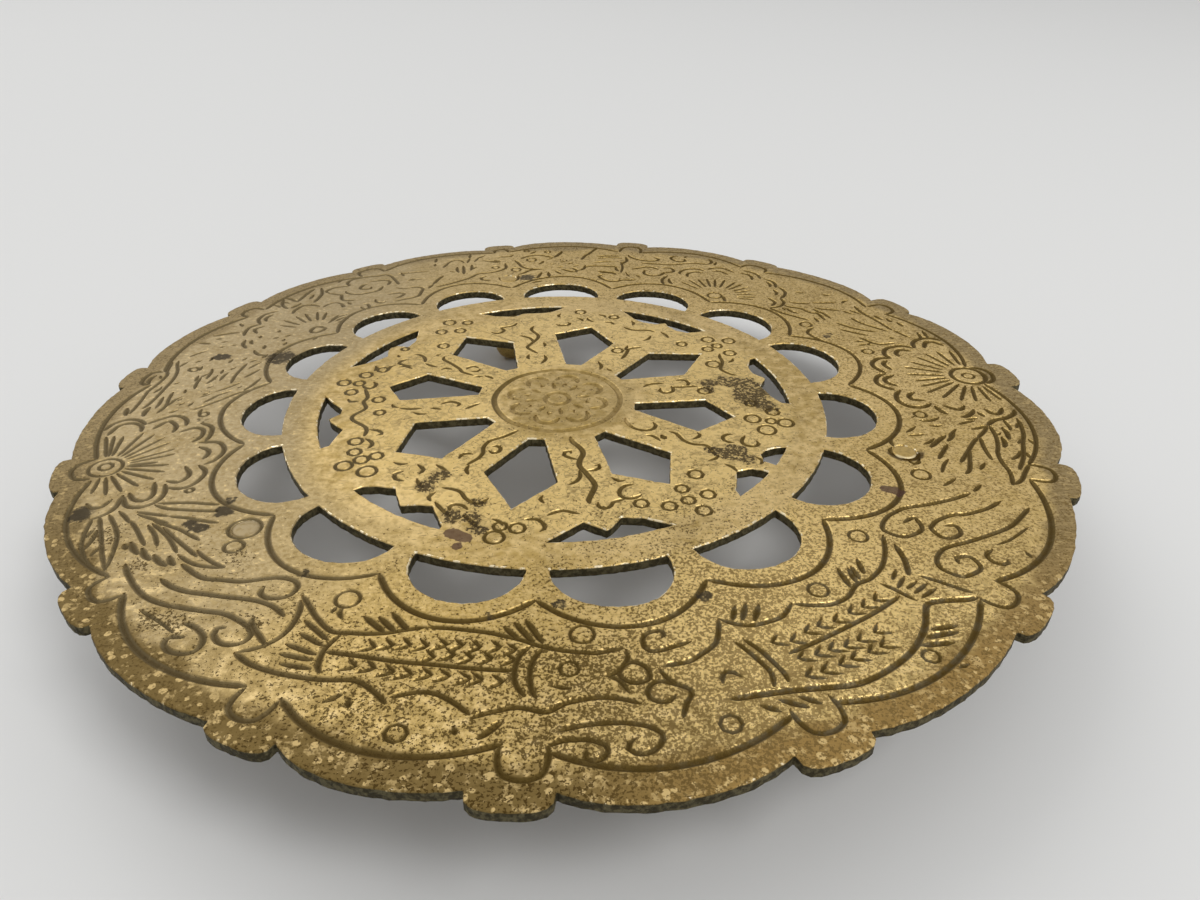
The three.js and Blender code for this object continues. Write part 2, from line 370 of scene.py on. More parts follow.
def lay_metal(s, at, coat, colours):
    """Clean and clouded brass, brightest at the front right and on the spokes."""
    bright = at.broad * 0.6 + at.blot * 0.7 + at.inner * 0.05
    coat.lay(colours.rubbed, s.step(bright, 0.55, 0.80))
    coat.lay(colours.tan, at.left * (1 - at.inner), 0.9)
    coat.lay(colours.dull, s.step(at.patch, 0.42, 0.72), 0.4)
    coat.lay(BAND_BRASS, (1 - at.left) * at.band, 0.4)
    coat.lay(colours.rubbed, s.step(at.speck, 0.50, 0.40) * (1 - at.left) * at.band, 0.5)
    coat.lay(colours.dull, at.front * (1 - at.right) * at.band, 0.2)
    coat.lay(FRONT_BRASS, at.front * at.right * at.band, 0.8)
    coat.lay(colours.dull, s.step(at.mottle, 0.46, 0.66) * (0.34 + at.band * 0.1))
    coat.lay(colours.rubbed, s.step(at.mottle, 0.42, 0.30) * (0.25 + at.band * 0.3))
    coat.lay(colours.dull, s.step(at.from_middle, *HUB_FADE), 0.35)

    coat.lay(SPOKE_BRASS, at.spokes * (1 - at.left * 0.7), 0.65)
    coat.lay(colours.dull, at.spokes * s.step(at.coarse, 0.49, 0.60), 0.42)
    curl_lines = s.step((s.noise(620, 1, 0.4) - 0.5).maths("ABSOLUTE"), 0.05, 0.02)
    coat.lay(CURL_LINE, curl_lines * at.spokes * s.step(at.patch, 0.42, 0.52), 0.38)
    coat.lay(colours.dull, s.step(at.y, 12 * MM, 60 * MM) * (1 - at.left), 0.22)


def lay_rim_tarnish(s, at, coat, colours):
    """The tarnish that the rim keeps, its flakes and flecks, and the marks of the file."""
    outer = at.front * s.step(at.from_middle + swing(at.patch, 14 * MM), *FLAKES_FADE)
    coat.lay(colours.brown, outer * s.step(at.coarse, 0.51, 0.45), 0.5)
    coat.lay(PALE_FLAKE, outer * s.step(at.coarse, 0.53, 0.60), 0.45)

    at.cover = at.rim * 0.9
    coat.lay(colours.brown, at.cover)
    coat.lay(colours.pit_dirt_and_shadow, at.cover * at.front, 0.3)
    coat.lay(FRONT_RIM, at.cover * at.front * at.right, 0.6)
    coat.lay(colours.tan, at.cover * (1 - at.front), 0.45)
    grains = s.node("ShaderNodeTexVoronoi", {}, {"Vector": s.place, "Scale": 620}, "Distance")
    flecks = s.step(grains + swing(at.patch, 0.9) + swing(at.mottle, 0.5), 0.30, 0.22)
    flecks = s.clamp(flecks + s.step(at.coarse, 0.53, 0.60) * 0.6)
    bare_rim = at.front * 0.55 + at.right * 0.1 + 0.12
    coat.lay(colours.rubbed, flecks * at.rim * bare_rim)
    coat.lay(colours.pit_dirt_and_shadow, at.rim * s.step(at.speck, 0.5, 0.62), 0.5)

    at.file_marks = s.noise(1, 2, 0.5, s.mapped(0.12, (480, 1500, 1)))
    at.right_rim = at.rim * at.right * (1 - at.front * 0.6) * s.step(at.patch, 0.34, 0.58)
    coat.lay(colours.brown, at.right_rim * s.step(at.file_marks, 0.50, 0.62), 0.45)
    coat.lay(colours.rubbed, at.right_rim * s.step(at.file_marks, 0.47, 0.38), 0.22)


def lay_pits(s, at, coat, colours):
    """Small corroded pits, which crowd at the front, and fine scratches."""
    nests = sum(s.spot(polar(angle, reach), size * MM) for angle, reach, size in PIT_NESTS)
    crowd = (
        at.front * 0.10 + at.band * (1 - at.left) * 0.02
        + at.band * at.right * (1 - at.front) * 0.05 + swing(at.patch, 0.20)
        - at.inner * 0.015 + nests * 0.10 - at.rim * 0.04 - at.left * 0.085
    )
    below_openings = s.step(at.from_middle, 70 * MM, 60 * MM)
    crowd = crowd - at.front * (1 - at.right) * (below_openings * 0.07 + 0.03)
    past_left_fish = s.step(at.x, -12 * MM, 6 * MM)
    before_right_rim = s.step(at.x, 46 * MM, 24 * MM)
    crowd = crowd + at.front * past_left_fish * before_right_rim * 0.05
    at.pits = s.step(at.speck + crowd + swing(at.mottle, 0.12), 0.61, 0.67)
    pit_colour = s.mix(at.right * at.band, colours.pit_dirt_and_shadow, SHALLOW_PIT)
    coat.lay(pit_colour, at.pits * (0.82 - at.right * 0.06))
    at.scratches = s.scratches(0.6, at.patch) + s.scratches(-1.1, at.blot)
    coat.lay(colours.pit_dirt_and_shadow, s.clamp(at.scratches), 0.7)


def lay_groove_dirt_and_rivet_shadow(s, at, coat, colours):
    """Dirt in the graver strokes, and a painted shadow on the plate in front of the right foot's
    rivet head.
    """
    at.sunk = s.step(at.depth * (1.45 - at.front * 0.45), 0.03 * MM, 0.23 * MM) * (1 - at.sawn)
    kept = s.step(at.from_middle, 12.5 * MM, 16 * MM) * 0.46 + 0.48 - at.left * at.band * 0.16
    dirt = s.mix(at.left, colours.groove, colours.grey_groove)
    ashen = at.front * at.right * s.step(at.blot, 0.42, 0.6) * 0.6
    coat.lay(s.mix(ashen, dirt, ASHEN_DIRT), at.sunk * kept)
    deepest = s.step(at.depth, 0.26 * MM, 0.42 * MM) * (1 - at.sawn)
    coat.lay(colours.pit_dirt_and_shadow, deepest * kept * at.band, 0.5)

    # Painted shadow: a dark crescent on the plate on the front side of the right rivet's head
    painted_rivet_shadow = s.step(s.from_axis(RIGHT_RIVET), 3.5 * MM, 3.0 * MM)
    painted_rivet_shadow = painted_rivet_shadow * s.step(at.y, RIGHT_RIVET.y + 0.4 * MM, RIGHT_RIVET.y - 0.7 * MM)
    coat.lay(colours.pit_dirt_and_shadow, painted_rivet_shadow, 0.9)


def lay_stains(s, at, coat, colours):
    """Dark stains, corroded crusts and red spots, with ragged outlines."""
    ragged = 2.4 * MM
    shift = s.vector("SCALE", {0: s.noise(330, 2, output="Color"), "Scale": ragged})
    shifted = s.vector("ADD", [s.place, shift])
    where = s.vector("SUBTRACT", [shifted, (ragged / 2, ragged / 2, ragged / 2)])
    at.stains = sum(
        s.spot(polar(angle, reach), size * MM, where) * strength
        for angle, reach, size, strength in DARK_STAINS
    )
    stained = s.step(at.stains + swing(at.mottle, 1.1) + swing(at.speck, 0.6), 0.32, 0.75)
    coat.lay(STAIN, stained * s.step(at.stains, 0.02, 0.2), 0.9)
    crusts = sum(s.spot(plain(x, y), size * MM, where) for x, y, size in CRUSTS)
    crumbs = s.clamp(crusts) + swing(at.mottle, 1.7) + swing(at.speck, 1.9)
    at.crust = s.step(crumbs, 0.66, 1.0) * s.step(crusts, 0.02, 0.25)
    coat.lay(colours.dull, s.step(crusts, 0.0, 0.9), 0.35)
    coat.lay(CRUST, at.crust, 0.92)
    reds = sum(s.spot(plain(x, y), size * MM) for x, y, size in RED_SPOTS)
    coat.lay(RED_SPOT, s.step(reds + swing(at.mottle, 1.2), 0.3, 0.6), 0.85)


def lay_walls(s, at, coat):
    """The sawn walls, dark with dirt and painted shade, and painted highlights along their upper
    edges.
    """
    at.wall = s.step(at.depth, 0.12 * MM, 0.3 * MM) * at.sawn
    # Near-black walls: partly dirt, partly painted shade
    coat.lay(s.mix(s.step(at.mottle, 0.4, 0.65), WALL_DIRT_AND_SHADE, WALL_BRASS), at.wall, 0.95)
    # Painted highlight: pale brass along the walls' upper edges, fewer near the rim
    near_rim = s.step(at.from_middle, 75 * MM, 82 * MM)
    glint = s.step(at.mottle + swing(at.blot, 0.7) - near_rim * 0.14, 0.53, 0.61)
    at.glint = glint * at.sawn * (1 - at.wall)
    coat.lay(EDGE_GLINT, at.glint, 0.9)


def brass_material(colours):
    s = Shader("engraved_brass")
    at = plate_zones(s)
    coat = Coat(s, colours.gold)
    lay_metal(s, at, coat, colours)
    lay_rim_tarnish(s, at, coat, colours)
    lay_pits(s, at, coat, colours)
    lay_groove_dirt_and_rivet_shadow(s, at, coat, colours)
    lay_stains(s, at, coat, colours)
    lay_walls(s, at, coat)

    dirty = at.cover * 0.6 + at.pits * 0.7 + at.sunk * 0.5 + at.wall * 0.6 + at.crust + at.stains
    bare = 1 - s.clamp(dirty)
    s.feed("Base Color", coat.colour)
    s.bsdf.inputs["Specular IOR Level"].default_value = 0.08
    s.feed("Metallic", s.clamp(bare * 0.5 + 0.42 + at.glint * 0.3))
    s.feed("Roughness", s.clamp(0.66 - bare * 0.22 + swing(at.mottle, 0.3) - at.glint * 0.16))
    height = (
        at.patch * 0.10 + at.blot * 0.05 + at.mottle * (0.022 + at.band * 0.05)
        + at.speck * at.band * 0.018 - at.pits * 0.05 - at.scratches * 0.02
        + at.crust * 0.08 + at.wall * at.mottle * 0.25 + at.right_rim * at.file_marks * 0.09
    )
    s.bump(height, 0.8)
    return s.material


def turned_material(colours):
    s = Shader("turned_brass")
    broad = s.noise(150, 3)
    speck = s.noise(2300, 3, 0.65)
    x, y, z = s.split(s.place)

    head = Coat(s, colours.gold)
    head.lay(colours.tan, s.step(x * -1, 10 * MM, 40 * MM))
    head.lay(colours.dull, s.step(s.noise(*MOTTLE), 0.44, 0.66), 0.5)
    # Darker where the head's edge sinks below the plate's top
    head.lay(colours.pit_dirt_and_shadow, s.step(z, PLATE_TOP - 0.14 * MM, PLATE_TOP - 0.3 * MM), 0.85)
    # Painted highlight: a bright crescent on the front edge of the right rivet's head
    off_rivet = s.from_axis(RIGHT_RIVET)
    bright = s.step(off_rivet, 1.5 * MM, 1.85 * MM) * s.step(off_rivet, 3.0 * MM, 2.5 * MM)
    highlight_side = s.step(y, RIGHT_RIVET.y - 0.5 * MM, RIGHT_RIVET.y - 1.4 * MM)
    head.lay(RIVET_GLINT, bright * highlight_side, 0.75)

    coat = Coat(s, colours.gold)
    coat.lay(colours.dull, s.step(broad, 0.35, 0.65))
    collar = s.step(z, 17.5 * MM, 19 * MM) * s.step(z, 19.8 * MM, 19.5 * MM)
    coat.lay(colours.brown, s.clamp(s.step(speck, 0.56, 0.64) * 0.6 + collar * 0.5))
    coat.lay(head.colour, s.step(z, 20.4 * MM, 20.7 * MM))

    s.feed("Base Color", coat.colour)
    s.bsdf.inputs["Metallic"].default_value = 0.8
    s.feed("Roughness", 0.36 + broad * 0.2 + speck * 0.1)
    turned = s.node("ShaderNodeCombineXYZ", {}, [0.0, 0.0, z * 9000])
    s.bump(s.noise(1, 2, 0.5, turned) * 0.02 + speck * -0.02, 0.7)
    return s.material


def select_only(piece):
    bpy.ops.object.select_all(action="DESELECT")
    piece.select_set(True)
    bpy.context.view_layer.objects.active = piece


def copy_of_node(name, copy_name):
    """A copy of a CAD node, with its loose triangles merged into whole faces."""
    select_only(frame["nodes"][name])
    bpy.ops.object.duplicate()
    piece = bpy.context.object
    piece.name = copy_name
    piece.data.name = copy_name
    piece.parent = None
    for key in list(piece.keys()):
        del piece[key]
    piece.data.materials.clear()
    bpy.ops.mesh.customdata_custom_splitnormals_clear()
    bpy.ops.object.mode_set(mode="EDIT")
    bpy.ops.mesh.select_all(action="SELECT")
    bpy.ops.mesh.remove_doubles(threshold=0.001 * MM)
    bpy.ops.mesh.dissolve_limited(angle_limit=math.radians(0.5))
    bpy.ops.object.mode_set(mode="OBJECT")
    return piece


def apply_modifier(piece, kind, **settings):
    select_only(piece)
    modifier = piece.modifiers.new(kind.lower(), kind)
    for name, value in settings.items():
        setattr(modifier, name, value)
    bpy.ops.object.modifier_apply(modifier=modifier.name)


class Engraving:
    """The graver strokes that are cut into the plate's top."""

    STEP = 0.7 * MM
    TAPER = 0.9 * MM
    RING_CORNERS = 8
    RING_WIDTH = 0.7
    DOT_LENGTH = 0.5 * MM
    DOT_WIDTH = 0.9
    SCALE_WIDTH = 0.85

    def __init__(self, width, depth):
        self.width = width
        self.depth = depth
        self.strokes = []

    def add(self, points, width, closed):
        self.strokes.append((points, width, closed))

    def cut(self, *rows, width=1.0, closed=False):
        """Strokes, each a row with the angle and the reach of every point."""
        for row in rows:
            self.add([polar(*pair) for pair in zip(row[::2], row[1::2])], width, closed)

    def draw(self, *rows, width=1.0):
        """Strokes, each a row with the x and the y of every point."""
        for row in rows:
            self.add([plain(*pair) for pair in zip(row[::2], row[1::2])], width, False)

    def ring_at(self, centre, size, width):
        turns = [math.tau * i / self.RING_CORNERS for i in range(self.RING_CORNERS)]
        reach = thousandths(size) * PLATE_RADIUS
        points = [centre + Vector((math.cos(t), math.sin(t))) * reach for t in turns]
        self.add(points, width, True)

    def dot(self, centre):
        """A small round punch mark."""
        side = Vector((self.DOT_LENGTH / 2, 0))
        self.add([centre - side, centre + side], self.DOT_WIDTH, False)

    def rings(self, *rows):
        """Small rings, each an angle, a reach and a size."""
        for angle, reach, size in rows:
            self.ring_at(polar(angle, reach), size, self.RING_WIDTH)

    def arch(self, start, foot, crown, height, end, last_foot, width=1.0):
        """A flat arch from start to end, with its crown between them."""
        points = []
        for i in range(-4, 5):
            side = i / 4
            angle = crown + abs(side) * ((start if side < 0 else end) - crown)
            base = foot + (last_foot - foot) * (side + 1) / 2
            points += (angle, base + (height - base) * (1 - side * side))
        self.cut(points, width=width)

    def loop(self, angle, half, foot, crown):
        """A loop that stands on the border, open at its foot."""
        points = []
        for side, rise in (
            (1, 0), (1.02, 0.4), (0.75, 0.85), (0, 1), (-0.75, 0.85), (-1.02, 0.4), (-1, 0),
        ):
            points += (angle + half * side, foot + (crown - foot) * rise)
        self.cut(points)

    def rays(self, angle, reach, gap, *ends, width=0.8):
        """Straight strokes that run to each end from a gap round a flower's eye."""
        eye = polar(angle, reach)
        for pair in zip(ends[::2], ends[1::2]):
            end = polar(*pair)
            start = eye + (end - eye).normalized() * thousandths(gap) * PLATE_RADIUS
            self.add([start, end], width, False)

    def chevrons(self, way, *tips):
        """Fish scales: small arrowheads that point to higher angles, or with -1 to lower."""
        for angle, reach in zip(tips[::2], tips[1::2]):
            row = (
                angle - way * 1.5, reach + 16, angle - way * 0.3, reach + 4,
                angle, reach - 1, angle - way * 1.2, reach - 12,
            )
            self.cut(row, width=self.SCALE_WIDTH)


def smooth(points, closed, step):
    """Points on a smooth curve through points, about a step apart."""
    count = len(points)
    spans = count if closed else count - 1
    made = []
    for i in range(spans):
        if closed:
            p0, p1, p2, p3 = (points[(i + k - 1) % count] for k in range(4))
        else:
            p0, p1, p2, p3 = (points[min(max(i + k - 1, 0), count - 1)] for k in range(4))
        parts = max(1, round((p2 - p1).length / step))
        for j in range(parts):
            t = j / parts
            made.append(
                0.5 * (2 * p1 + (p2 - p0) * t
                       + (2 * p0 - 5 * p1 + 4 * p2 - p3) * t * t
                       + (3 * p1 - p0 - 3 * p2 + p3) * t ** 3)
            )
    if not closed:
        made.append(points[-1])
    return made


def groove_section(width, depth):
    """The section of a worn graver groove, flared over the plate's top."""
    half = width / 2
    side = [(1.2 * half, 0.04 * MM), (0.95 * half, -0.05 * MM), (0.45 * half, -0.7 * depth)]
    return [(-across, up) for across, up in side] + [(0, -depth)] + side[::-1]


def stroke_mesh(points, width, depth, closed, taper):
    """A closed cutter that lies along points. Open strokes run out thin at their ends."""
    end_size, longest_taper = 0.4, 0.35
    section = groove_section(width, depth)
    count = len(points)
    sides = len(section)
    run = [0.0]
    for p, q in zip(points, points[1:]):
        run.append(run[-1] + (q - p).length)
    corners = []
    for i, point in enumerate(points):
        before = points[i - 1] if closed else points[max(i - 1, 0)]
        after = points[(i + 1) % count] if closed else points[min(i + 1, count - 1)]
        along = (after - before).normalized()
        across = Vector((-along.y, along.x))
        from_end = min(run[i], run[-1] - run[i])
        grown = from_end / min(taper, run[-1] * longest_taper)
        size = 1 if closed else min(1, end_size + (1 - end_size) * grown)
        for u, v in section:
            spot = point + across * u * size
            corners.append((spot.x, spot.y, PLATE_TOP + (v if v > 0 else v * size)))
    faces = []
    for i in range(count if closed else count - 1):
        for j in range(sides):
            a, b = i * sides + j, i * sides + (j + 1) % sides
            c, d = (((i + 1) % count) * sides + k for k in ((j + 1) % sides, j))
            faces.append((a, b, c, d))
    if not closed:
        faces.append(tuple(reversed(range(sides))))
        faces.append(tuple((count - 1) * sides + j for j in range(sides)))
    mesh = bpy.data.meshes.new("stroke")
    mesh.from_pydata(corners, [], faces)
    return mesh


def engrave(plate, engraving):
    cutters = bpy.data.collections.new("cutters")
    bpy.context.scene.collection.children.link(cutters)
    for points, width, closed in engraving.strokes:
        line = smooth(points, closed, engraving.STEP)
        # A narrower stroke is shallower too
        depth = engraving.depth * (0.4 + 0.6 * width)
        mesh = stroke_mesh(line, engraving.width * width, depth, closed, engraving.TAPER)
        cutters.objects.link(bpy.data.objects.new("stroke", mesh))
    apply_modifier(
        plate, "BOOLEAN", operation="DIFFERENCE", operand_type="COLLECTION",
        collection=cutters, solver="MANIFOLD")
    for cutter in list(cutters.objects):
        mesh = cutter.data
        bpy.data.objects.remove(cutter)
        bpy.data.meshes.remove(mesh)
    bpy.data.collections.remove(cutters)


# Widths of bold and of fine strokes, in shares of the ordinary width
WIDE = 1.2
FINE = 0.65


def half_moon_lines(g):
    """The line that follows each half-moon opening."""
    rows = [
        (246, 635, 258, 700), (269.6, 640, 283, 710), (294.2, 644, 307, 716),
        (318.6, 643, 331, 727), (342.4, 645, 355.5, 718), (366.6, 646, 378.5, 723),
        (390.6, 645, 402.5, 717), (414.5, 656, 426.5, 707), (439, 633, 451, 711),
        (463.7, 640, 475, 708), (487, 628, 499, 700), (509.8, 640, 522, 697),
        (534.5, 637, 545.5, 697), (557.8, 636, 570, 703), (582, 638, 594, 700), (606, 635),
    ]
    for start, end in zip(rows, rows[1:]):
        front = 240 < start[2] < 370
        g.arch(*start, *end[:2], width=WIDE if front else 1.05)
    g.cut((344.8, 696, 346.5, 690, 348, 694))


def border(g):
    """The line that follows the plate's edge: an arch in each lobe, a loop in each knob."""
    for row in (
        (248.2, 905, 258, 949, 268.2, 913), (271.9, 925, 282, 964, 292.3, 930),
        (296.2, 935, 306, 972, 317.4, 930), (320.9, 930, 331, 981, 341.8, 943),
        (345, 945, 355, 982, 365.2, 950), (370.2, 948, 379, 979, 389.3, 950),
        (392.8, 938, 402, 971, 413.6, 937), (417.8, 935, 427, 973, 437.1, 930),
        (441, 925, 450, 958, 461.8, 922), (464.2, 922, 475, 943, 485.4, 905),
        (489.8, 900, 499, 929, 509.3, 900), (512.7, 902, 522, 925, 533.2, 893),
        (537, 893, 547, 922, 556.5, 902), (561.2, 903, 571, 941, 581, 905),
        (584.5, 901, 594, 944, 604.6, 907),
    ):
        g.arch(*row, width=WIDE if row[0] < 340 or row[0] > 580 else 1.0)
    for row in (
        (269.9, 1.95, 915, 968), (294.3, 1.95, 920, 974), (319.3, 1.75, 926, 974),
        (343.4, 1.6, 942, 990), (391.1, 1.75, 944, 990), (415.8, 2.1, 937, 970),
        (439, 1.85, 925, 976), (463, 1.2, 922, 950), (487.6, 2.1, 903, 944),
        (511.1, 1.65, 901, 935), (535.1, 1.9, 896, 922), (582.8, 1.75, 903, 943),
        (606.4, 1.8, 907, 956),
    ):
        g.loop(*row)
    g.cut((295.2, 930, 293.8, 905), (294, 928, 292, 900), (291.6, 920, 290.2, 900), width=WIDE)
    g.cut(
        (309, 985, 307.9, 980), (340, 915, 341.5, 929, 343.2, 936, 345.2, 947),
        (326.8, 963, 327.6, 950), (536.9, 897, 536.2, 905, 535.2, 907, 534.2, 903),
    )


def left_fish(g):
    """The front fish that swims right, with the water over it."""
    g.cut(
        (280.2, 858, 279, 848, 277.5, 841, 275.8, 839, 273.3, 846, 271.6, 860, 269.5, 853,
         268.3, 854, 265.8, 868, 265, 877),
        (265, 870, 263.5, 854, 262, 843, 261, 839, 259.5, 841, 257.2, 858),
        (257.3, 871, 255.6, 854, 253.3, 843, 251, 853, 249, 861, 246, 870, 243, 874, 240.5, 869),
        (270.7, 838, 270.1, 820, 269.8, 790, 270, 765, 271, 741),
        (269.6, 835, 268.5, 810, 268.2, 785, 268.5, 757, 269.6, 738),
        (280, 752, 278.5, 753, 277, 756, 275.5, 753, 272.8, 746, 270.3, 736, 268.5, 726, 266, 718,
         264, 714, 260, 714, 257, 719),
        (257, 719, 255, 731, 253, 746, 251, 757, 249, 765, 247, 772, 244, 757, 242, 743, 240, 731),
        (277.3, 801, 278.5, 797, 279.5, 783, 280.1, 770, 280.1, 755),
        (279.4, 838, 279.1, 825, 278.6, 810, 277.5, 802),
    )
    g.rings((273.8, 783, 14))
    g.dot(polar(273.8, 783))
    g.cut(
        (274, 820, 272, 815), (272.2, 792, 271.6, 788),
        (268.2, 787, 264, 787, 260, 788, 256, 794, 252, 800, 248.2, 810),
    )
    g.chevrons(
        1, 267.2, 808, 265.1, 806, 263.9, 807, 261.8, 806, 260, 808, 258, 812, 256.2, 814,
        254.2, 815, 252.3, 820, 268, 765, 265.6, 765, 263.5, 768, 261.5, 766, 259.5, 775,
        256.3, 760, 254.5, 768, 252.8, 778, 268, 745, 266.2, 742, 264, 745, 262, 745, 260.2, 748,
        258.2, 756,
    )
    g.cut((249.7, 848, 248.9, 838, 248.1, 810, 248.1, 790, 248.3, 772))
    # Rays of the tail
    g.cut(
        (248.6, 845, 245.3, 855), (248, 831, 244.4, 840), (247.9, 820, 244, 821),
        (247.8, 802, 244.2, 795), (247.7, 790, 243.3, 771),
    )
    g.cut((240.6, 866, 241.8, 848, 242.6, 825, 242.8, 800, 242.3, 775, 241.5, 755, 240.5, 741))
    # Fins
    g.cut(
        (271, 733, 268.6, 683), (270, 733, 267.3, 690), (268.5, 730, 266.1, 700),
        (255.3, 735, 251.9, 705), (254, 742, 250.8, 720), (252.8, 747, 249.1, 727),
        (266, 909, 267.9, 876), (264.2, 905, 263.8, 890), (254.3, 890, 253.8, 875),
        (251.8, 891, 253, 870),
        width=WIDE,
    )
    g.rings((259.3, 913, 15), (245.4, 705, 19), (275.5, 716, 18))
    g.cut((247, 745, 246, 735, 245.8, 722), (245.2, 742, 245, 725))


def water(g):
    """The curls of water between the two front fish."""
    g.cut(
        (283.6, 850, 282.8, 859, 281.8, 858, 281.1, 848, 281.1, 836, 281.6, 826, 282.4, 822,
         283.4, 828, 284, 838),
    )
    g.cut(
        (281.6, 815, 281.8, 800, 281.3, 787, 280.3, 780, 279.3, 786, 278.8, 800, 279.3, 813,
         280.3, 820),
        closed=True,
    )
    g.cut(
        (287.5, 760, 285.5, 763, 283.8, 766, 282.6, 764, 282.2, 755, 282.3, 738, 282.7, 730,
         283.8, 726, 284.8, 729, 284.9, 738, 284.3, 743),
        (292, 730, 290.5, 765, 289.5, 778, 287.5, 790, 286, 797, 283.3, 796),
        (283.3, 893, 284.2, 868, 285, 855, 285, 846, 284, 833, 283.3, 818, 282.9, 800),
    )
    g.rings((287, 917, 15))
    g.dot(polar(287, 917))
    g.cut(
        (279, 912, 278.4, 918, 278.2, 928, 278.7, 936, 279.5, 938, 280.3, 934, 280.9, 925,
         281.2, 912, 280.2, 896, 278, 885, 275, 884, 272.5, 892),
        (274.9, 922, 274.8, 937, 275.5, 942, 276.2, 937, 276.6, 926, 276.4, 918, 275, 908,
         273, 908, 271.7, 917),
    )


def right_fish(g):
    """The front fish that swims left."""
    g.cut(
        (317.5, 925, 316.5, 915, 314.5, 888, 313.5, 879, 312.7, 878, 311, 893, 309.5, 905,
         306.5, 920, 303, 926, 299.5, 924, 296.5, 908, 293.5, 893, 290, 882, 288, 878),
        width=WIDE,
    )
    # Fins
    g.cut(
        (311.8, 940, 308.8, 915), (310.3, 948, 307.5, 920), (312.5, 932, 310, 910),
        (312.2, 772, 314.1, 741), (310.2, 777, 311.7, 745), (309, 778, 310.6, 735),
        (311, 775, 312.3, 745), (295.5, 757, 297.7, 728), (294.3, 748, 296.4, 717),
        (293.3, 742, 294.9, 715),
        width=WIDE,
    )
    g.rings((307.2, 943, 13), (305.6, 750, 16), (318.5, 711, 16), (338, 751, 17))
    g.cut(
        (312, 838, 308, 836, 304, 833, 300, 832, 296, 833),
        (293.9, 880, 294.2, 865, 294.1, 845, 293.7, 810, 292.9, 780),
        (292.4, 880, 293.1, 855, 292.9, 830, 292.3, 795, 291.8, 780),
        (290.3, 848, 289.8, 835, 289.1, 830, 288.4, 840, 288.2, 850),
    )
    g.chevrons(
        -1, 305.5, 865, 303.3, 863, 301.6, 862, 300, 855, 298.4, 853, 296.6, 848, 304.5, 890,
        303, 888, 301, 885, 299.5, 885, 297.5, 883, 295.9, 880, 309.4, 820, 307.5, 818, 305.6, 815,
        303.3, 815, 301.3, 810, 299.5, 810, 297.4, 815, 295.5, 805,
    )
    g.cut(
        (320.8, 742, 318, 764, 315, 780, 312, 784, 310, 778, 307.5, 788, 305, 785, 303, 770,
         301.3, 752),
        (301.3, 750, 299.5, 763, 298.3, 767, 295.3, 763, 293.2, 748, 292, 730),
        (317.8, 915, 317.5, 890, 316.9, 850, 316.5, 833),
    )
    g.cut((315.7, 823, 317, 810, 318.3, 795, 320, 768), width=WIDE)
    # Rays of the tail
    g.cut(
        (316, 868, 313.4, 863), (316, 852, 313.4, 850), (315.5, 838, 313.5, 836),
        (315.3, 818, 312.9, 826), (315.7, 800, 313.7, 810),
    )
    g.cut((312.7, 863, 312.6, 840, 312.5, 820, 312.2, 800))


def right_scrolls(g):
    """The four scrolls that roll up behind the right fish."""
    g.cut(
        (335.8, 940, 332, 921, 330, 905, 327, 875, 325.5, 860, 323.5, 840, 322.3, 835, 321, 836,
         320, 842, 319.3, 855, 319.4, 882, 320, 892, 321.7, 902, 322.6, 898, 323.3, 878,
         322.8, 868, 322.2, 861, 321.3, 872),
        (335.8, 892, 334, 877, 332.5, 860, 331, 840, 330, 820, 328, 803, 326.8, 800, 325.9, 801,
         325, 822, 325.3, 835, 326, 843, 327, 847, 327.8, 841, 328.1, 830, 327.3, 818),
        (336, 840, 334.5, 823, 333, 805, 330.5, 772, 328.5, 745, 327, 735, 325.5, 728, 324, 727,
         322.8, 730, 321.9, 738, 321.9, 762, 322.5, 775, 324.5, 788, 325.7, 786, 327, 768,
         326.5, 762, 325, 756),
        (325.2, 930, 324.7, 934, 324.1, 928, 323.9, 915, 324.3, 903, 325, 898, 326, 903),
    )
    g.cut((332, 943, 330, 930, 328.5, 920, 327, 905), width=FINE)


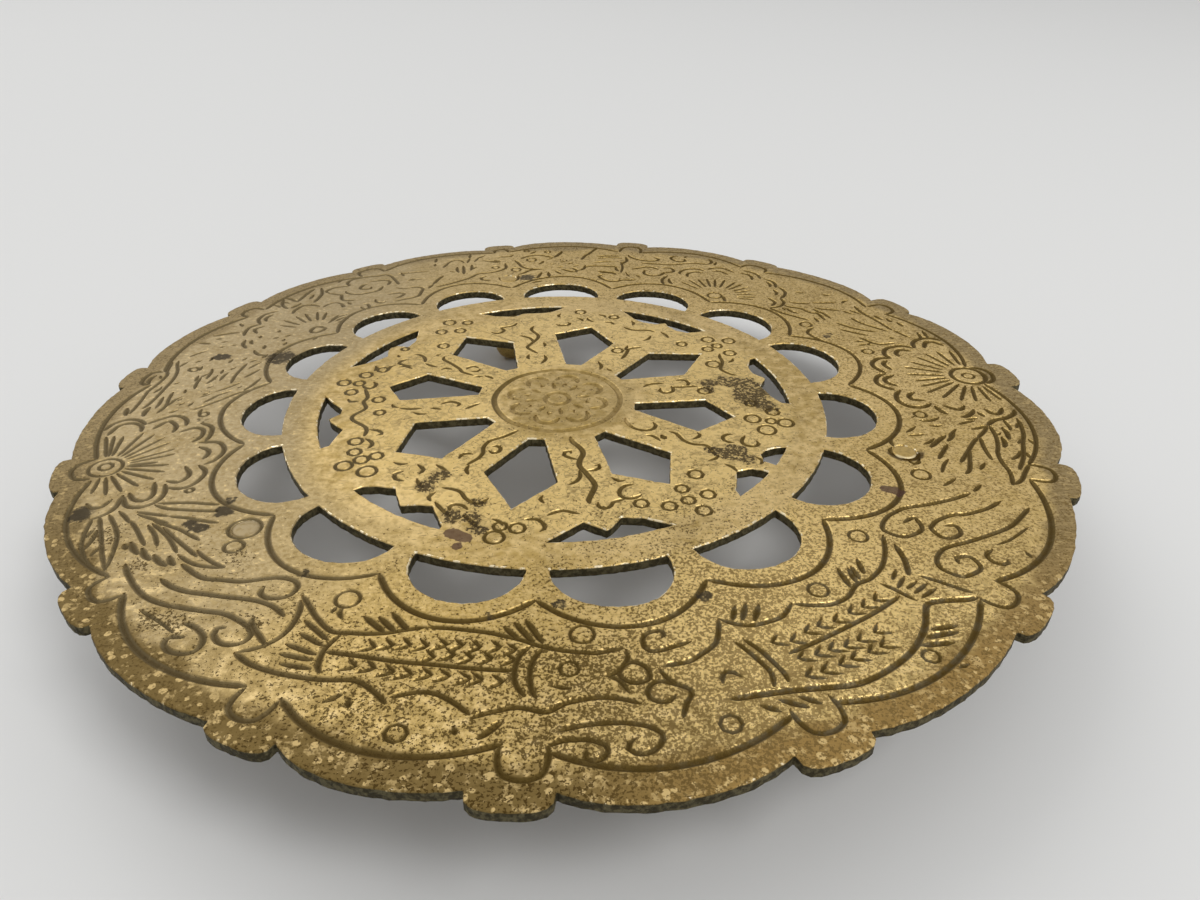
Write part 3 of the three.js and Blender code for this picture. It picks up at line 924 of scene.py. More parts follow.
def right_leaves(g):
    """The leaves and stems over the right foot's rivet."""
    g.cut(
        (339.7, 912, 341.5, 911, 343, 907, 345, 896, 347, 893, 348.5, 897, 351, 900, 353.8, 897),
        (356, 962, 354.5, 962, 352, 957, 350.5, 950, 347.5, 942, 346, 937, 343.5, 926),
        (350.5, 868, 348, 869, 346, 875, 344.8, 880), (350.5, 865, 349, 852, 346, 835, 343, 820),
    )
    # Stems
    g.cut(
        (355, 960, 353.5, 949), (351.2, 955, 349.7, 937), (348.2, 940, 346.8, 930, 345.6, 915),
        (355.5, 932, 353.5, 937, 352.8, 932), (351, 962, 349.7, 972), (354, 965, 353.5, 972),
        (347.8, 948, 346.5, 952), (352, 912, 351.3, 902), (353.7, 892, 353, 875, 352.3, 855),
        (353.6, 892, 352, 880, 350.2, 862), (354.9, 872, 354.2, 850, 353.5, 835),
        (355.6, 880, 355, 855), (347, 840, 344, 838, 341.5, 836, 340.3, 828), (344, 865, 342, 855),
        (347.5, 800, 345.5, 790, 343, 780), (351, 820, 349.5, 810, 348.3, 800),
        (355.3, 800, 354.6, 790, 354, 775, 353.8, 765, 354.2, 755), (338.5, 857, 336.5, 845),
        (355.2, 750, 354.6, 742), (342.2, 745, 341.3, 744, 340.6, 735, 341.2, 725),
    )
    g.cut(
        (353.5, 920, 352.3, 925, 350.4, 924), (351, 911, 349.5, 913, 348.3, 907),
        (350, 800, 348.5, 785, 347, 773, 346, 765),
        width=WIDE,
    )
    g.cut(
        (358, 969, 356.6, 953, 356, 935, 355.2, 912, 353.9, 897),
        (353, 800, 352.5, 788, 352.6, 772), (352, 745, 350.6, 732, 349.7, 722),
        (349.7, 760, 349.3, 745, 348.8, 725), (352.2, 826, 350.8, 814, 349.4, 806),
        (348.8, 776, 347.5, 765, 346.6, 752), (343.5, 798, 341.8, 790, 339.5, 787),
        (338.8, 812, 337.2, 800, 336.2, 792),
        width=0.85,
    )
    g.rings((355.9, 764, 13))
    g.cut(
        (343.8, 744, 342.7, 742, 342, 735, 341.5, 722, 341.8, 708, 342.5, 695, 343.5, 689,
         344.5, 692),
    )


def right_flower(g):
    """The many-petalled flower on the right lobe."""
    g.rings((7.6, 932, 13.5))
    g.ring_at(polar(7.6, 932), 38, 1.1)
    g.cut((9.9, 955, 9.6, 970, 9, 982, 7.8, 989, 6.4, 982, 5.7, 970, 5.2, 955), width=WIDE)
    g.cut((9, 960, 8.3, 966, 7.5, 967, 6.5, 963, 6, 955))
    g.rays(
        7.6, 932, 53, 15.2, 957, 15.5, 925, 15.3, 892, 14.6, 862, 13.3, 833, 11.8, 806, 9.2, 795,
        6.9, 800, 5, 803, 2.9, 806, 1.2, 832, 0.4, 868, 0.2, 900, 0.2, 932, 0.5, 958, width=0.95,
    )
    # Petals
    g.cut(
        (18.5, 972, 19.7, 955, 20, 930, 19.3, 900, 17.3, 884),
        (16.8, 960, 18.3, 950, 18.7, 930, 17, 907),
        (17.5, 882, 18.8, 860, 18.7, 820, 17, 798, 14.9, 800),
        (16.6, 868, 17.6, 845, 16.7, 827, 15.3, 824),
        (15.1, 797, 15.7, 775, 14.6, 748, 12.8, 740, 10.1, 753), (14.6, 785, 13.5, 768, 11, 773),
        (10, 750, 9.5, 730, 7.8, 715, 6, 716, 3.9, 742), (9.3, 765, 8.3, 739, 6.7, 737, 5.4, 755),
        (4, 752, 2.5, 737, 0.3, 733, -1.6, 750, -1.6, 780, -0.4, 800),
        (3.2, 780, 2.3, 764, 0.9, 764, 0.5, 790), (-1.2, 805, -2.5, 810, -3.8, 823),
        (-4.4, 845, -4, 860, -3, 875, -2, 883), (-1, 868, -2.2, 852, -1, 822),
        (-2.7, 888, -4, 897), (-6.3, 892, -4.8, 912, -4, 940, -2.8, 963, -1.8, 968),
        (-1.4, 946, -2.9, 932, -2.9, 917, -1.7, 906),
        width=1.25,
    )
    g.rings((18.6, 767, 13.5))


def right_vines(g):
    """The leaves and tendrils between the two flowers on the right."""
    # Stems
    g.cut(
        (22.3, 965, 21, 957, 19.8, 950), (22, 945, 20.5, 937, 19.9, 925),
        (24, 900, 22, 904, 20.8, 910), (24, 793, 22.5, 800, 21.3, 805, 20.3, 820, 20, 855),
        (21.5, 800, 21, 790, 20.3, 795), (22.5, 790, 22.8, 770), (21.2, 785, 21.3, 765),
        (34.2, 918, 31.5, 903, 28, 900, 24, 896), (33.5, 887, 31.2, 893), (34, 868, 32, 875),
        (31, 855, 29.5, 853, 28, 856, 26.5, 865, 24, 883), (37.7, 824, 36.3, 835, 34.3, 865),
        (37.5, 816, 36, 812, 34.8, 815, 32.5, 806), (30.8, 800, 28.5, 810, 26.5, 825, 24.5, 855),
        (28.3, 782, 26.5, 795, 25, 810, 24, 822),
        (42.2, 775, 41, 775, 39, 790, 36.5, 790, 36, 800, 35, 800, 32.5, 787),
        (41.5, 758, 40.3, 750), (41, 763, 39, 757, 37.5, 763),
        (43.2, 732, 41, 730, 39, 733, 36.5, 742, 34.2, 753), (34.5, 775, 33.5, 770, 32.5, 763),
        (31.2, 730, 31, 715, 30, 697, 28, 694, 25.5, 700), (44.5, 870, 43, 882),
        (40.8, 910, 40, 915, 39.7, 925), (39.5, 845, 38.5, 860, 37, 895),
        (42.5, 800, 41, 812, 39.5, 835), (36.5, 935, 36.6, 920, 36.2, 905),
    )
    g.cut(
        (21.6, 872, 22, 860), (29.8, 917, 27.8, 917), (28, 932, 26.5, 928), (26.2, 940, 24.5, 937),
        width=WIDE,
    )
    g.rings((33.1, 726.5, 15))


def far_right_flower(g):
    """The flower at the back right."""
    g.rings((55.6, 704, 19))
    g.cut((54.3, 715, 53, 700, 52, 685))
    g.rays(
        55.6, 704, 60, 65, 746, 63.9, 770, 62.5, 787, 61.1, 803, 59.5, 810, 57.8, 822, 55.6, 823,
        54, 820, 52.3, 812, 51, 797, 49.5, 780, 48.2, 765, 48, 745,
    )
    # Petals
    g.cut(
        (68.9, 775, 69.3, 745, 68.6, 720, 67.9, 710), (68.1, 755, 67.4, 735, 66.3, 720),
        (66.8, 800, 67.2, 820, 66.3, 847, 64.6, 860, 63, 855),
        (64.8, 790, 65.5, 812, 64.5, 836, 62.8, 838), (62.8, 870, 62.2, 890, 60.5, 900, 58, 888),
        (61.7, 860, 60.5, 875, 58.3, 863), (57, 915, 55.5, 917, 53.8, 908, 52.6, 888),
        (57, 892, 55.6, 895, 54.4, 887, 53.5, 865), (52, 893, 50.5, 893, 49.2, 880, 48.2, 858),
        (51, 880, 49.8, 868, 49.2, 850), (48, 868, 46, 853, 45, 830, 44.6, 803),
        (48, 842, 46.6, 828, 46.2, 810), (44.6, 803, 43, 790, 42.3, 760, 43.2, 732),
        (46.5, 783, 44.2, 772, 43.6, 745),
    )


def back_clouds(g):
    """The clouds at the back, to the right of the goldfish."""
    g.cut(
        (70, 935, 71, 925, 70.9, 912, 70.2, 900, 69.3, 895, 68.4, 900, 68.2, 912, 68.6, 922),
        (68.7, 945, 68.7, 930), (64.8, 942, 64, 945, 63.5, 928, 63.7, 910), (62.8, 938, 62.5, 910),
        (75.8, 847, 73, 853, 70, 862, 67.8, 885, 66, 900, 63.5, 910),
        (76.8, 790, 76.2, 800, 75.3, 810, 74.4, 820, 73.5, 823, 72.5, 820, 71.5, 810),
        (71.3, 830, 70, 835, 69, 830, 68.5, 810, 70, 793, 70.5, 770, 72.3, 758, 73.9, 770,
         74.2, 795),
        (79, 905, 78.5, 890, 76.8, 873, 74.8, 870, 73.2, 880, 73.1, 895, 74.2, 905),
        (79.3, 885, 78.8, 855, 79.8, 820), (80.4, 800, 80, 780, 79.3, 765), (77.8, 765, 77.4, 755),
        (75.2, 750, 74, 735),
        (82.5, 733, 83.2, 722, 82.8, 710, 81, 690, 79, 690, 77.5, 705, 76, 707, 74.8, 720),
        (82.6, 735, 81.8, 733), (80.8, 730, 80.2, 725), (78.4, 713, 78.1, 702),
        (77, 725, 76.6, 720),
    )
    g.cut((83.9, 757, 82, 755, 80.5, 753, 79.6, 738), width=WIDE)


def back_goldfish(g):
    """The goldfish at the back."""
    g.cut(
        (101, 850, 100.5, 830, 100, 800, 99, 780, 97.5, 771, 95.5, 770),
        (99.8, 860, 99, 872, 97.5, 885, 95.5, 883, 93.3, 862), (95.3, 835, 95.8, 820, 96.5, 810),
        (91.8, 770, 90, 752, 89, 747, 88.3, 755, 88.9, 770, 89.7, 778),
        (88, 757, 86.9, 775, 86.8, 800), (85.2, 950, 85.8, 930, 86.5, 900, 87.2, 880, 87.8, 845),
        (80.5, 890, 83, 885, 85, 875), (80, 800, 84, 800, 87, 790), (92, 845, 91.8, 835),
        (90.7, 840, 90.7, 830), (94, 812, 93.5, 805), (96, 745, 96.7, 720, 97.3, 700),
        (93, 755, 92.3, 740, 91.7, 728), (97.8, 900, 97.4, 905, 96.6, 920),
        (101.3, 735, 100, 745, 98.3, 765, 96, 770), (105, 863, 103.7, 850),
    )
    g.cut(
        (93.3, 862, 92.3, 890, 91.7, 915), (94.5, 745, 94.4, 710), (98.6, 668, 97.5, 675, 96, 678),
        width=WIDE,
    )
    g.cut(
        (84.7, 859, 83.1, 870, 80.7, 874, 79.7, 867), (85.1, 824, 83.2, 836, 81, 838),
        (83.5, 748, 81.5, 750, 79.7, 744), (82.1, 699, 80, 685, 78.3, 699),
        (79.8, 841, 79, 802, 78.8, 758), (92, 822, 90.8, 834), (90.6, 806, 89.4, 820),
        (89.3, 787, 88.1, 802), (94.6, 845, 93.4, 861), (92.7, 779, 91.4, 790),
        (77.6, 758, 76.5, 733),
        width=0.8,
    )
    g.cut((105.6, 725, 105.3, 705, 104.5, 690, 103.5, 688, 102.3, 693, 101.6, 705, 101.2, 730))
    g.rings(
        (97.7, 848, 14.5), (98.3, 925, 8), (94.4, 912, 9), (101.3, 775, 13.5), (105.3, 805, 10),
    )


def back_feathers(g):
    """The plumes and waves at the back, between the goldfish and the peony."""
    g.cut(
        (120, 720, 116.3, 727, 112, 745, 109.5, 768, 107, 768, 105, 775, 103.3, 795, 103.1, 830),
        (108, 743, 109.3, 738, 109.4, 722, 108.3, 712, 107.5, 711),
        (120, 742, 118, 772, 116.5, 790), (106.2, 860, 105, 855, 103.7, 850),
        (104, 888, 102.8, 886, 101.7, 885, 101, 897), (112.6, 840, 113, 820, 113.1, 795),
        (111.3, 845, 111.8, 810, 112.4, 780), (109.6, 845, 110, 820, 110.6, 800),
        (109, 825, 110.5, 805), (113.7, 880, 114.5, 865, 115.3, 850), (116, 890, 116.5, 870),
        (115, 930, 115.8, 900), (108.7, 930, 109.3, 900), (106.3, 910, 108, 890),
        (120, 742, 121, 730, 121.8, 720), (122, 853, 120, 850), (123.3, 808, 122, 805),
        (123.1, 868, 123.4, 840),
    )
    g.cut((118.5, 938, 117, 947), width=WIDE)


def peony(g):
    """The peony at the back left and the leaf beside it."""
    g.cut(
        (138, 860, 138, 875, 136, 882, 134.3, 870, 133.5, 870, 133.3, 885, 132, 900, 129.5, 895,
         127, 880, 126, 880, 125.4, 860, 125.7, 810, 126, 790),
        (138.2, 860, 137.3, 830, 137, 825, 138.2, 795, 137.5, 775, 136.5, 768),
        (138.2, 770, 138.4, 750),
        (135.5, 838, 135.7, 820, 134.5, 795, 131.5, 785, 130.3, 788, 129, 803),
        (129.8, 857, 127.3, 842, 126.7, 825, 128, 805),
        (130.5, 845, 131.5, 845, 132.9, 828, 131.5, 810, 130.8, 820),
        (144, 873, 142.5, 885, 140, 905, 138.7, 913),
        (142.5, 835, 139.8, 860, 138.8, 875, 137.7, 905), (142, 862, 140.3, 880),
        (133.5, 735, 134, 720, 133.5, 705, 132.5, 705),
        (130.3, 745, 128, 735, 127.3, 722, 129, 710, 130, 710),
        (125, 755, 123.5, 745, 122.7, 730, 124, 705, 125, 690, 126.5, 685, 131, 692),
        (136.7, 730, 136, 725, 136.5, 705, 137.2, 700), (139.3, 775, 140.4, 750),
        (137.8, 720, 138, 700, 138.6, 695), (147, 855, 146.8, 870, 146.3, 890, 144.8, 915),
        (144.2, 920, 144, 900, 144, 870), (134.3, 905, 133.7, 915, 132.8, 920),
    )
    g.cut(
        (127.2, 775, 126.3, 756, 125, 749), (123.9, 864, 121.8, 855, 119.8, 847, 118.2, 838),
        (123.8, 805, 122.3, 799, 120.7, 794),
        (114.7, 858, 113.5, 884, 112.1, 897, 111.1, 888, 110.8, 865), (110.3, 862, 109.2, 900),
        (108.9, 864, 107.5, 899), (114.6, 817, 113.7, 802), (107.2, 874, 105.7, 852, 103.8, 842),
        (142.9, 790, 141.3, 797, 140, 792, 139.5, 776, 139.9, 749),
        (147.3, 702, 144.1, 711, 141.5, 707),
        width=0.8,
    )


def back_left_flower(g):
    """The flower at the back left."""
    g.cut(
        (152.2, 693, 151.9, 705, 150.8, 710, 149.8, 711, 149.3, 697, 149.4, 685, 150.3, 682,
         151.8, 686),
        closed=True,
    )
    g.rays(
        150.8, 694, 58, 150.9, 808, 152.8, 795, 148.5, 800, 146.7, 795, 144.9, 778, 144, 757,
        143.4, 720, 143, 700, 143.2, 683,
    )
    g.cut(
        (158.8, 830, 158, 840, 156, 852, 154.5, 847, 154, 840), (157.2, 810, 156, 833, 154.2, 825),
        (154, 842, 152.7, 868, 150.5, 877, 148.5, 865), (152.7, 840, 151.8, 857, 150, 860),
        (148, 820, 147, 832, 144.5, 840, 143.2, 820, 142.9, 800),
        (162.8, 780, 161.5, 803, 160, 812), (161, 780, 160.6, 790, 159.7, 797),
        (164, 715, 164.3, 730, 163.8, 745, 163, 757), (165.3, 715, 163.7, 715),
        (160.7, 900, 159.8, 885, 158.8, 870, 158, 853), (163.4, 905, 163.3, 890, 163.1, 875),
        (156.6, 895, 156.4, 885), (155.3, 890, 156, 870), (157.8, 757, 156.8, 748),
        (158, 725, 157, 730), (159.4, 710, 158, 713), (162, 740, 160.6, 750),
        (153.5, 665, 155, 665), (156.1, 739, 155.2, 731), (146.6, 853, 145.2, 854, 144.1, 858),
        (161.4, 884, 161, 868), (158.6, 786, 157.6, 794), (155.3, 768, 154.4, 774),
        (147.3, 905, 147.1, 892, 147.4, 878), (145.8, 905, 145.4, 892, 145.3, 880),
    )


def left_plumes(g):
    """The long leaves and plumes between the two flowers on the left."""
    g.cut(
        (184, 866, 182, 858, 178, 855, 175, 857, 172.5, 868, 170.7, 885, 169.5, 893),
        (185.3, 885, 182, 882, 179, 885, 177, 880, 174, 880, 172.8, 890, 170, 903),
        (179.5, 870, 178.3, 865, 177.5, 865), (175.2, 885, 174.3, 893),
        (184, 840, 182.5, 839, 180.5, 842), (185.5, 830, 183.3, 822, 181, 827, 179, 830),
        (184.8, 762, 183, 735, 181, 710, 179, 690, 177, 660), (178.7, 742, 177, 720, 175, 703),
        (175.6, 722, 173, 729, 170, 732, 168, 733), (166, 723, 167.5, 730),
        (173.2, 705, 171, 695, 169.5, 690), (178, 682, 176, 673, 173, 668),
        (174.5, 785, 172, 790, 171, 797), (172.5, 843, 171.3, 848), (172, 820, 170.5, 825),
        (178, 790, 176, 797, 174, 800), (187.2, 737, 185.5, 743, 184.5, 742),
        (180.7, 765, 179.2, 745), (185.5, 805, 184.5, 790), (183.6, 775, 182.2, 770),
        (172.5, 765, 171, 770), (175.5, 805, 173.5, 810), (183.3, 818, 181.3, 812, 180.4, 803),
        (182.4, 748, 181.2, 738, 180, 730, 179, 718, 178.2, 706), (177.3, 698, 176.3, 695),
        (176.7, 844, 175.9, 837), (179.4, 803, 178.2, 808), (174, 801, 172.6, 794),
        (170.9, 753, 169.6, 749), (171.3, 874, 170.2, 872, 169.3, 869), (183.2, 795, 182.3, 788),
        (181.8, 805, 180.9, 800), (174.9, 752, 173.2, 754, 171.8, 752),
        (176.2, 775, 174.6, 770, 173, 769), (179.9, 762, 178.8, 752), (177.6, 765, 176.6, 755),
        (168, 880, 167, 875, 166, 867, 165.2, 859), (169.6, 850, 168.4, 843),
        (168.6, 823, 167.2, 826), (169.8, 716, 168.2, 712, 166.8, 706), (167.2, 752, 165.9, 750),
        (168.6, 775, 167.1, 777), (163.9, 843, 163.2, 835), (162.8, 827, 162.1, 814),
        (162.3, 858, 161.4, 847),
        width=0.8,
    )
    g.cut((185.8, 890, 184.8, 894, 183.7, 898), (186.2, 853, 185, 856, 183.5, 853), width=WIDE)
    g.rings((171.7, 835, 10), (186.3, 732, 9), (208.6, 740, 7))


def left_flower(g):
    """The many-petalled flower on the left lobe."""
    g.rings((198.5, 882, 12.5), (198.7, 882, 30))
    g.cut((200.8, 905, 200.3, 930, 199, 940, 198, 940, 196.9, 928, 196.4, 905))
    g.rays(
        198.6, 882, 38, 205.2, 876, 205.2, 850, 204.7, 822, 203.8, 795, 202.3, 777, 200.6, 770,
        199.4, 790, 197.8, 762, 196.3, 763, 194.2, 775, 192.6, 790, 191.5, 812, 190.8, 835,
        191.3, 870, 191, 888, 191, 903, 204.2, 900,
    )
    # Petals
    g.cut(
        (209.5, 905, 209.2, 880, 208.3, 862, 206, 848),
        (206, 907, 207.2, 900, 207.4, 883, 206.3, 866),
        (206, 849, 208.5, 845, 209.6, 825, 209.2, 795, 207.5, 780, 205.5, 778),
        (205.8, 838, 207.5, 832, 208.3, 818, 207.5, 800, 204.5, 795),
        (206.5, 775, 207.5, 755, 207.1, 730, 205.5, 712, 204, 708, 202.2, 718),
        (204.8, 775, 205.7, 757, 205, 740, 203.8, 735, 201.8, 742),
        (202.3, 710, 201.5, 690, 199.8, 675, 198, 673, 196, 685, 195.3, 722),
        (200.7, 712, 199.5, 702, 198, 702, 196.7, 720),
        (195.2, 710, 193.5, 703, 191, 703, 189.8, 715, 189.2, 730),
        (195, 735, 193.5, 720, 191.3, 720, 190.5, 740, 191.5, 765),
        (189.7, 757, 188, 760, 186.7, 775, 186.4, 795, 187.4, 820, 188.4, 836),
        (191.5, 778, 189.8, 775, 188.3, 787, 188, 800, 190, 820),
        (188.6, 837, 187.2, 855, 186.8, 880, 187.7, 903, 189.5, 915),
        (190.5, 840, 188.8, 845, 187.9, 865, 188.4, 890, 190.8, 902),
    )


def left_leaves(g):
    """The spotted leaf and the plume beside the left foot's rivet."""
    g.cut(
        (220, 912, 218, 922, 215.5, 925, 213, 920, 209.5, 900),
        (219.8, 908, 218.5, 895, 216.5, 880, 214.5, 870, 212.5, 868, 209.5, 873),
        (219.8, 905, 217, 900, 214, 893, 209.5, 888), (228.3, 763, 226, 787, 224.3, 797, 222, 803),
        (221.7, 803, 218.5, 800, 216, 805, 214, 813),
        (228.2, 762, 226.5, 770, 224, 775, 222.7, 775), (224, 782, 221, 787, 218, 794, 215.5, 800),
        (221, 762, 219, 770, 217, 780, 213.5, 810),
        (214.5, 703, 213, 725, 211.8, 745, 210.8, 770, 209.8, 795),
        (216, 710, 214.5, 735, 213, 760, 211.5, 785, 210, 800), (219, 822, 216.5, 817, 214, 820),
        (218.8, 720, 217, 740, 215.5, 755, 213.5, 785), (212.5, 845, 210.8, 850, 209.3, 857),
        (218, 838, 214, 839, 212, 843), (215, 790, 213, 810, 211, 830),
        (213.5, 785, 211.8, 810, 210.5, 830), (216.5, 917, 215.3, 900),
        (215, 923, 213.5, 905, 212, 895), (213, 918, 211.5, 898),
        width=0.8,
    )
    # Leaves
    g.cut(
        (219.2, 852, 218, 855, 216.3, 854), (221.1, 842, 219.6, 845, 218.2, 843),
        (223.3, 827, 221.8, 833, 220.2, 833), (223.8, 817, 222.8, 819, 221.6, 815),
        (217.5, 865, 216.3, 864),
        width=WIDE,
    )
    g.rings((225.1, 727, 16), (222.3, 692, 27.5))


def left_scrolls(g):
    """The scrolls by the left fish's tail."""
    g.cut(
        (220, 876, 222, 881, 225, 883, 227, 880, 229, 870, 231, 855, 233, 840, 235, 825, 237, 821,
         239, 823, 240, 832, 240.1, 848, 239.3, 862, 238, 867, 236.8, 860, 236.4, 850, 237.1, 841),
        (225, 847, 227, 843, 229, 832, 231, 815, 233, 800, 235, 785, 237, 775, 239, 773, 241, 780),
        (224, 808, 227, 803, 228.5, 797, 230, 782, 232, 765, 233.5, 742, 234.8, 725, 236, 717,
         237.3, 714, 238.4, 722, 238.7, 740, 238, 755, 236.8, 765, 235.5, 763, 235, 750),
        (233, 872, 234.5, 867, 236, 870, 237, 882, 237.2, 897, 236.6, 910, 235.2, 918, 234, 912,
         233.8, 900, 235, 888),
        (238.1, 803, 238.4, 812, 239.5, 820, 241, 828, 242.5, 838),
    )
    g.cut((228, 900, 230, 895, 232, 892, 233.6, 893), width=FINE)


def spoke_vines(g):
    """Tendrils on the ring and along the spokes, in x and y about the piercing's centre."""
    g.draw(
        (-76, 373, -80, 352, -62, 321, -62, 300, -80, 262, -81, 248, -55, 218),
        (-40, 210, -35, 192, -45, 165), (-107, 317, -80, 303, -68, 277),
        (-45, 279, -41, 265, -43, 255), (-76, 213, -78, 199, -73, 187),
        (-21, 385, -14, 380, 0, 378, 12, 383, 14, 394, 7, 399),
        (-12, 451, -17, 442, -15, 432, -10, 426), (57, 426, 63, 411, 75, 400), (87, 449, 97, 439),
        (137, 433, 132, 425, 122, 425), (149, 373, 170, 355, 198, 355, 215, 352, 226, 342),
        (240, 345, 252, 328, 257, 310), (214, 321, 207, 303, 194, 293),
        (160, 251, 149, 213, 139, 192), (87, 178, 94, 158, 90, 137),
        (-120, 390, -125, 376, -139, 368, -156, 362, -147, 348, -153, 333, -166, 328, -177, 335),
        (401, 201, 399, 191, 387, 178.5),
        (373, 225, 371, 208, 375, 185, 368, 156, 368, 142, 387, 121, 401, 116),
        (186, 55, 196, 67, 213, 73, 233, 74),
        (224, 52, 222, 42, 229, 31, 241, 31, 250, 38, 252, 52, 248, 62),
        (260, 87, 271, 92, 283, 88, 288, 78, 285, 68, 276, 66),
        (248, 59, 266, 57, 283, 60, 307, 62),
        (144, -80, 146, -94, 155, -113, 168, -125, 186, -129, 200, -122, 206, -108, 201, -96),
        (184, -148, 196, -149, 207, -160, 213, -170),
        (231, -132, 245, -139, 252, -153, 262, -170, 279, -181, 297, -182, 307, -191, 316, -222),
        (276, -162, 288, -153, 293, -142, 288, -136),
        (359, -142, 349, -141, 338, -151, 340, -165, 349, -172, 359, -172),
        (383, -146, 375, -162, 375, -175, 383, -184, 397, -186, 406, -177, 404, -165),
        (54, -276, 56, -297, 49, -314, 35, -326),
        (51, -240, 35, -234, 23, -224, 24, -213, 35, -210, 37, -220),
        (68, -279, 83, -276, 92, -266, 90, -257, 80, -262),
        (155, -322, 139, -327, 129, -341, 130, -358, 142, -367, 158, -364, 168, -355),
        (90, -380, 90, -390, 101, -399, 113, -390, 116, -380, 125, -375, 139, -368),
        (0, -422, 14, -411, 31, -406, 45, -411, 59, -415),
        (-38, -434, -17, -432, -3, -446, -2, -460, -10, -468),
        (-196, -338, -177, -342, -159, -352, -149, -370, -135, -383, -121, -387, -107, -370),
        (-430, 55, -423, 43, -411, 38, -402, 48, -402, 62, -409, 69),
        (-421, 38, -407, 0, -411, -21, -400, -49, -418, -77, -416, -97, -381, -129, -378, -163),
        (-348, -31, -342, -42, -331, -45), (-192, -49, -178, -35, -163, -23),
        (-246, -30, -235, -20, -219, -18, -206, -27, -211, -39), (-266, -45, -253, -47, -240, -51),
        (-297, -64, -284, -71, -269, -69), (-330, -46, -311, -50, -282, -47),
        (-294, 203, -283, 208), (-192, 97, -180, 99, -170, 101), (-182, 136, -187, 124, -202, 125),
        (-270, 130, -260, 139, -244, 132), (-369, 142, -353, 146, -335, 134),
        (-373, -170, -359, -181, -355, -195, -361, -208),
        (-272, 198, -272, 184, -248, 159, -227, 135, -220, 121, -192, 104),
        (-168, 102, -154, 97, -147, 87), (-213, 132, -210, 142, -196, 149, -185, 140),
        (-73, -133, -84, -144, -101, -159, -123, -172, -132, -185, -136, -202, -134, -218,
         -140, -236, -151, -250, -161, -263),
        (-345, 208, -331, 206, -317, 191, -312, 168), (-310, 162, -297, 152, -279, 142),
        (-352, 182, -366, 175, -371, 160, -355, 152, -338, 147),
        (-376, 152, -387, 144, -390, 128, -395, 113), (-381, 203, -376, 191),
        (-421, 146, -416, 132, -420, 120), (-446, -10, -439, -21, -421, -18),
        (-373, -135, -352, -140, -345, -152, -355, -158), (90, 446, 100, 442, 104, 428),
        (170, 411, 175, 394, 170, 383), (156, 265, 152, 244, 166, 251, 191, 258),
        (107, 144, 118, 130), (100, 400, 118, 400, 125, 385), (30, 425, 42, 418, 47, 404),
        (-178, -241, -175, -228, -163, -221, -152, -224),
        (-124, -210, -115, -219, -104, -214, -102, -201, -111, -193, -120, -196),
        (-156, -262, -159, -279, -152, -296), (-201, -383, -184, -407, -166, -428),
        (-170, -411, -173, -397, -163, -390, -149, -394, -139, -407),
        (-146, -421, -128, -442, -114, -459), (-94, -432, -80, -439, -73, -452),
        (-253, -262, -239, -279, -246, -296), (-246, -310, -239, -328, -228, -340),
        (-218, -262, -206, -272, -194, -283), (-275, -285, -290, -295, -285, -312, -268, -318),
        (-300, -255, -285, -262, -272, -258), (-205, -352, -215, -368, -208, -382),
        (330, -250, 345, -262, 352, -278), (300, -240, 315, -232, 322, -220),
        (395, -225, 405, -238, 398, -252), (115, -300, 128, -312, 140, -308),
        (185, -300, 195, -310, 210, -308, 215, -296), (-5, -385, -14, -372, -10, -360),
        width=0.92,
    )
    g.draw(
        (33, -158, 38, -175, 51, -193, 59, -210, 59, -224, 54, -241, 54, -262, 63, -279, 82, -318,
         83, -335, 73, -373, 77, -385),
        width=WIDE,
    )
    for x, y, size in (
        (125, 432, 12), (132, 238, 13), (-371, 236, 9), (-283, 255, 13), (-367, -66, 11),
        (39, 463, 13), (-288, 389, 15), (-300, 334, 13), (-255, 342, 13), (-243, 390, 12),
        (352, 303, 15), (371, 269, 12), (347, 250, 13), (397, 230, 14), (402, 297, 15),
        (287, 277, 12), (352, 171, 16), (319, 41, 14), (408, -78, 16), (445, -87, 11),
        (474, -94, 16), (431, -123, 18), (454, -49, 14), (413, -14, 12), (167, -382, 13),
        (217, -389, 13.5), (252, -371, 12.5), (243, -335, 12.5), (272, -287, 14.5),
        (277, -402, 14.5), (289, -352, 13.5), (-48, -458, 14), (-85, -484, 17), (-78, -453, 12),
        (-473, 64, 14), (-439, 62, 12), (-447, 21, 13), (-433, 102, 14), (-381, -11, 13),
        (-390, -181, 14), (-383, -220, 13), (-338, -233, 13), (-392, -269, 16), (-364, -247, 14),
        (-344, -287, 18), (-401, 128, 12),
    ):
        g.ring_at(plain(x, y), size, 0.75)
    g.draw((215, -146, 224, -163), width=1.6)
    g.dot(plain(94, -423))


def medallion(g):
    """A ring round the hub and a plain eight-petalled rosette inside it."""
    g.ring_at(PIERCING_CENTRE, 135, 1.3)
    g.ring_at(PIERCING_CENTRE, 26, 1.1)
    g.dot(PIERCING_CENTRE)
    for petal in range(8):
        side = 45 * petal + 10
        g.cut((side, 44, side, 70), width=1.1)
        g.cut(
            (side + 5, 83, side + 12, 99, side + 22.5, 106, side + 33, 99, side + 40, 83),
            width=WIDE,
        )
        g.cut((side + 18, 62, side + 22.5, 68, side + 27, 62))


ORNAMENT = (
    half_moon_lines, border, left_fish, water, right_fish, right_scrolls, right_leaves,
    right_flower, right_vines, far_right_flower, back_clouds, back_goldfish, back_feathers,
    peony, back_left_flower, left_plumes, left_flower, left_leaves, left_scrolls, spoke_vines,
    medallion,
)

# The upright share of a face's normal from which it counts as flat, and the difference in
# height up to which two corners count as level
FLAT = 0.9999
LEVEL = 0.01 * MM


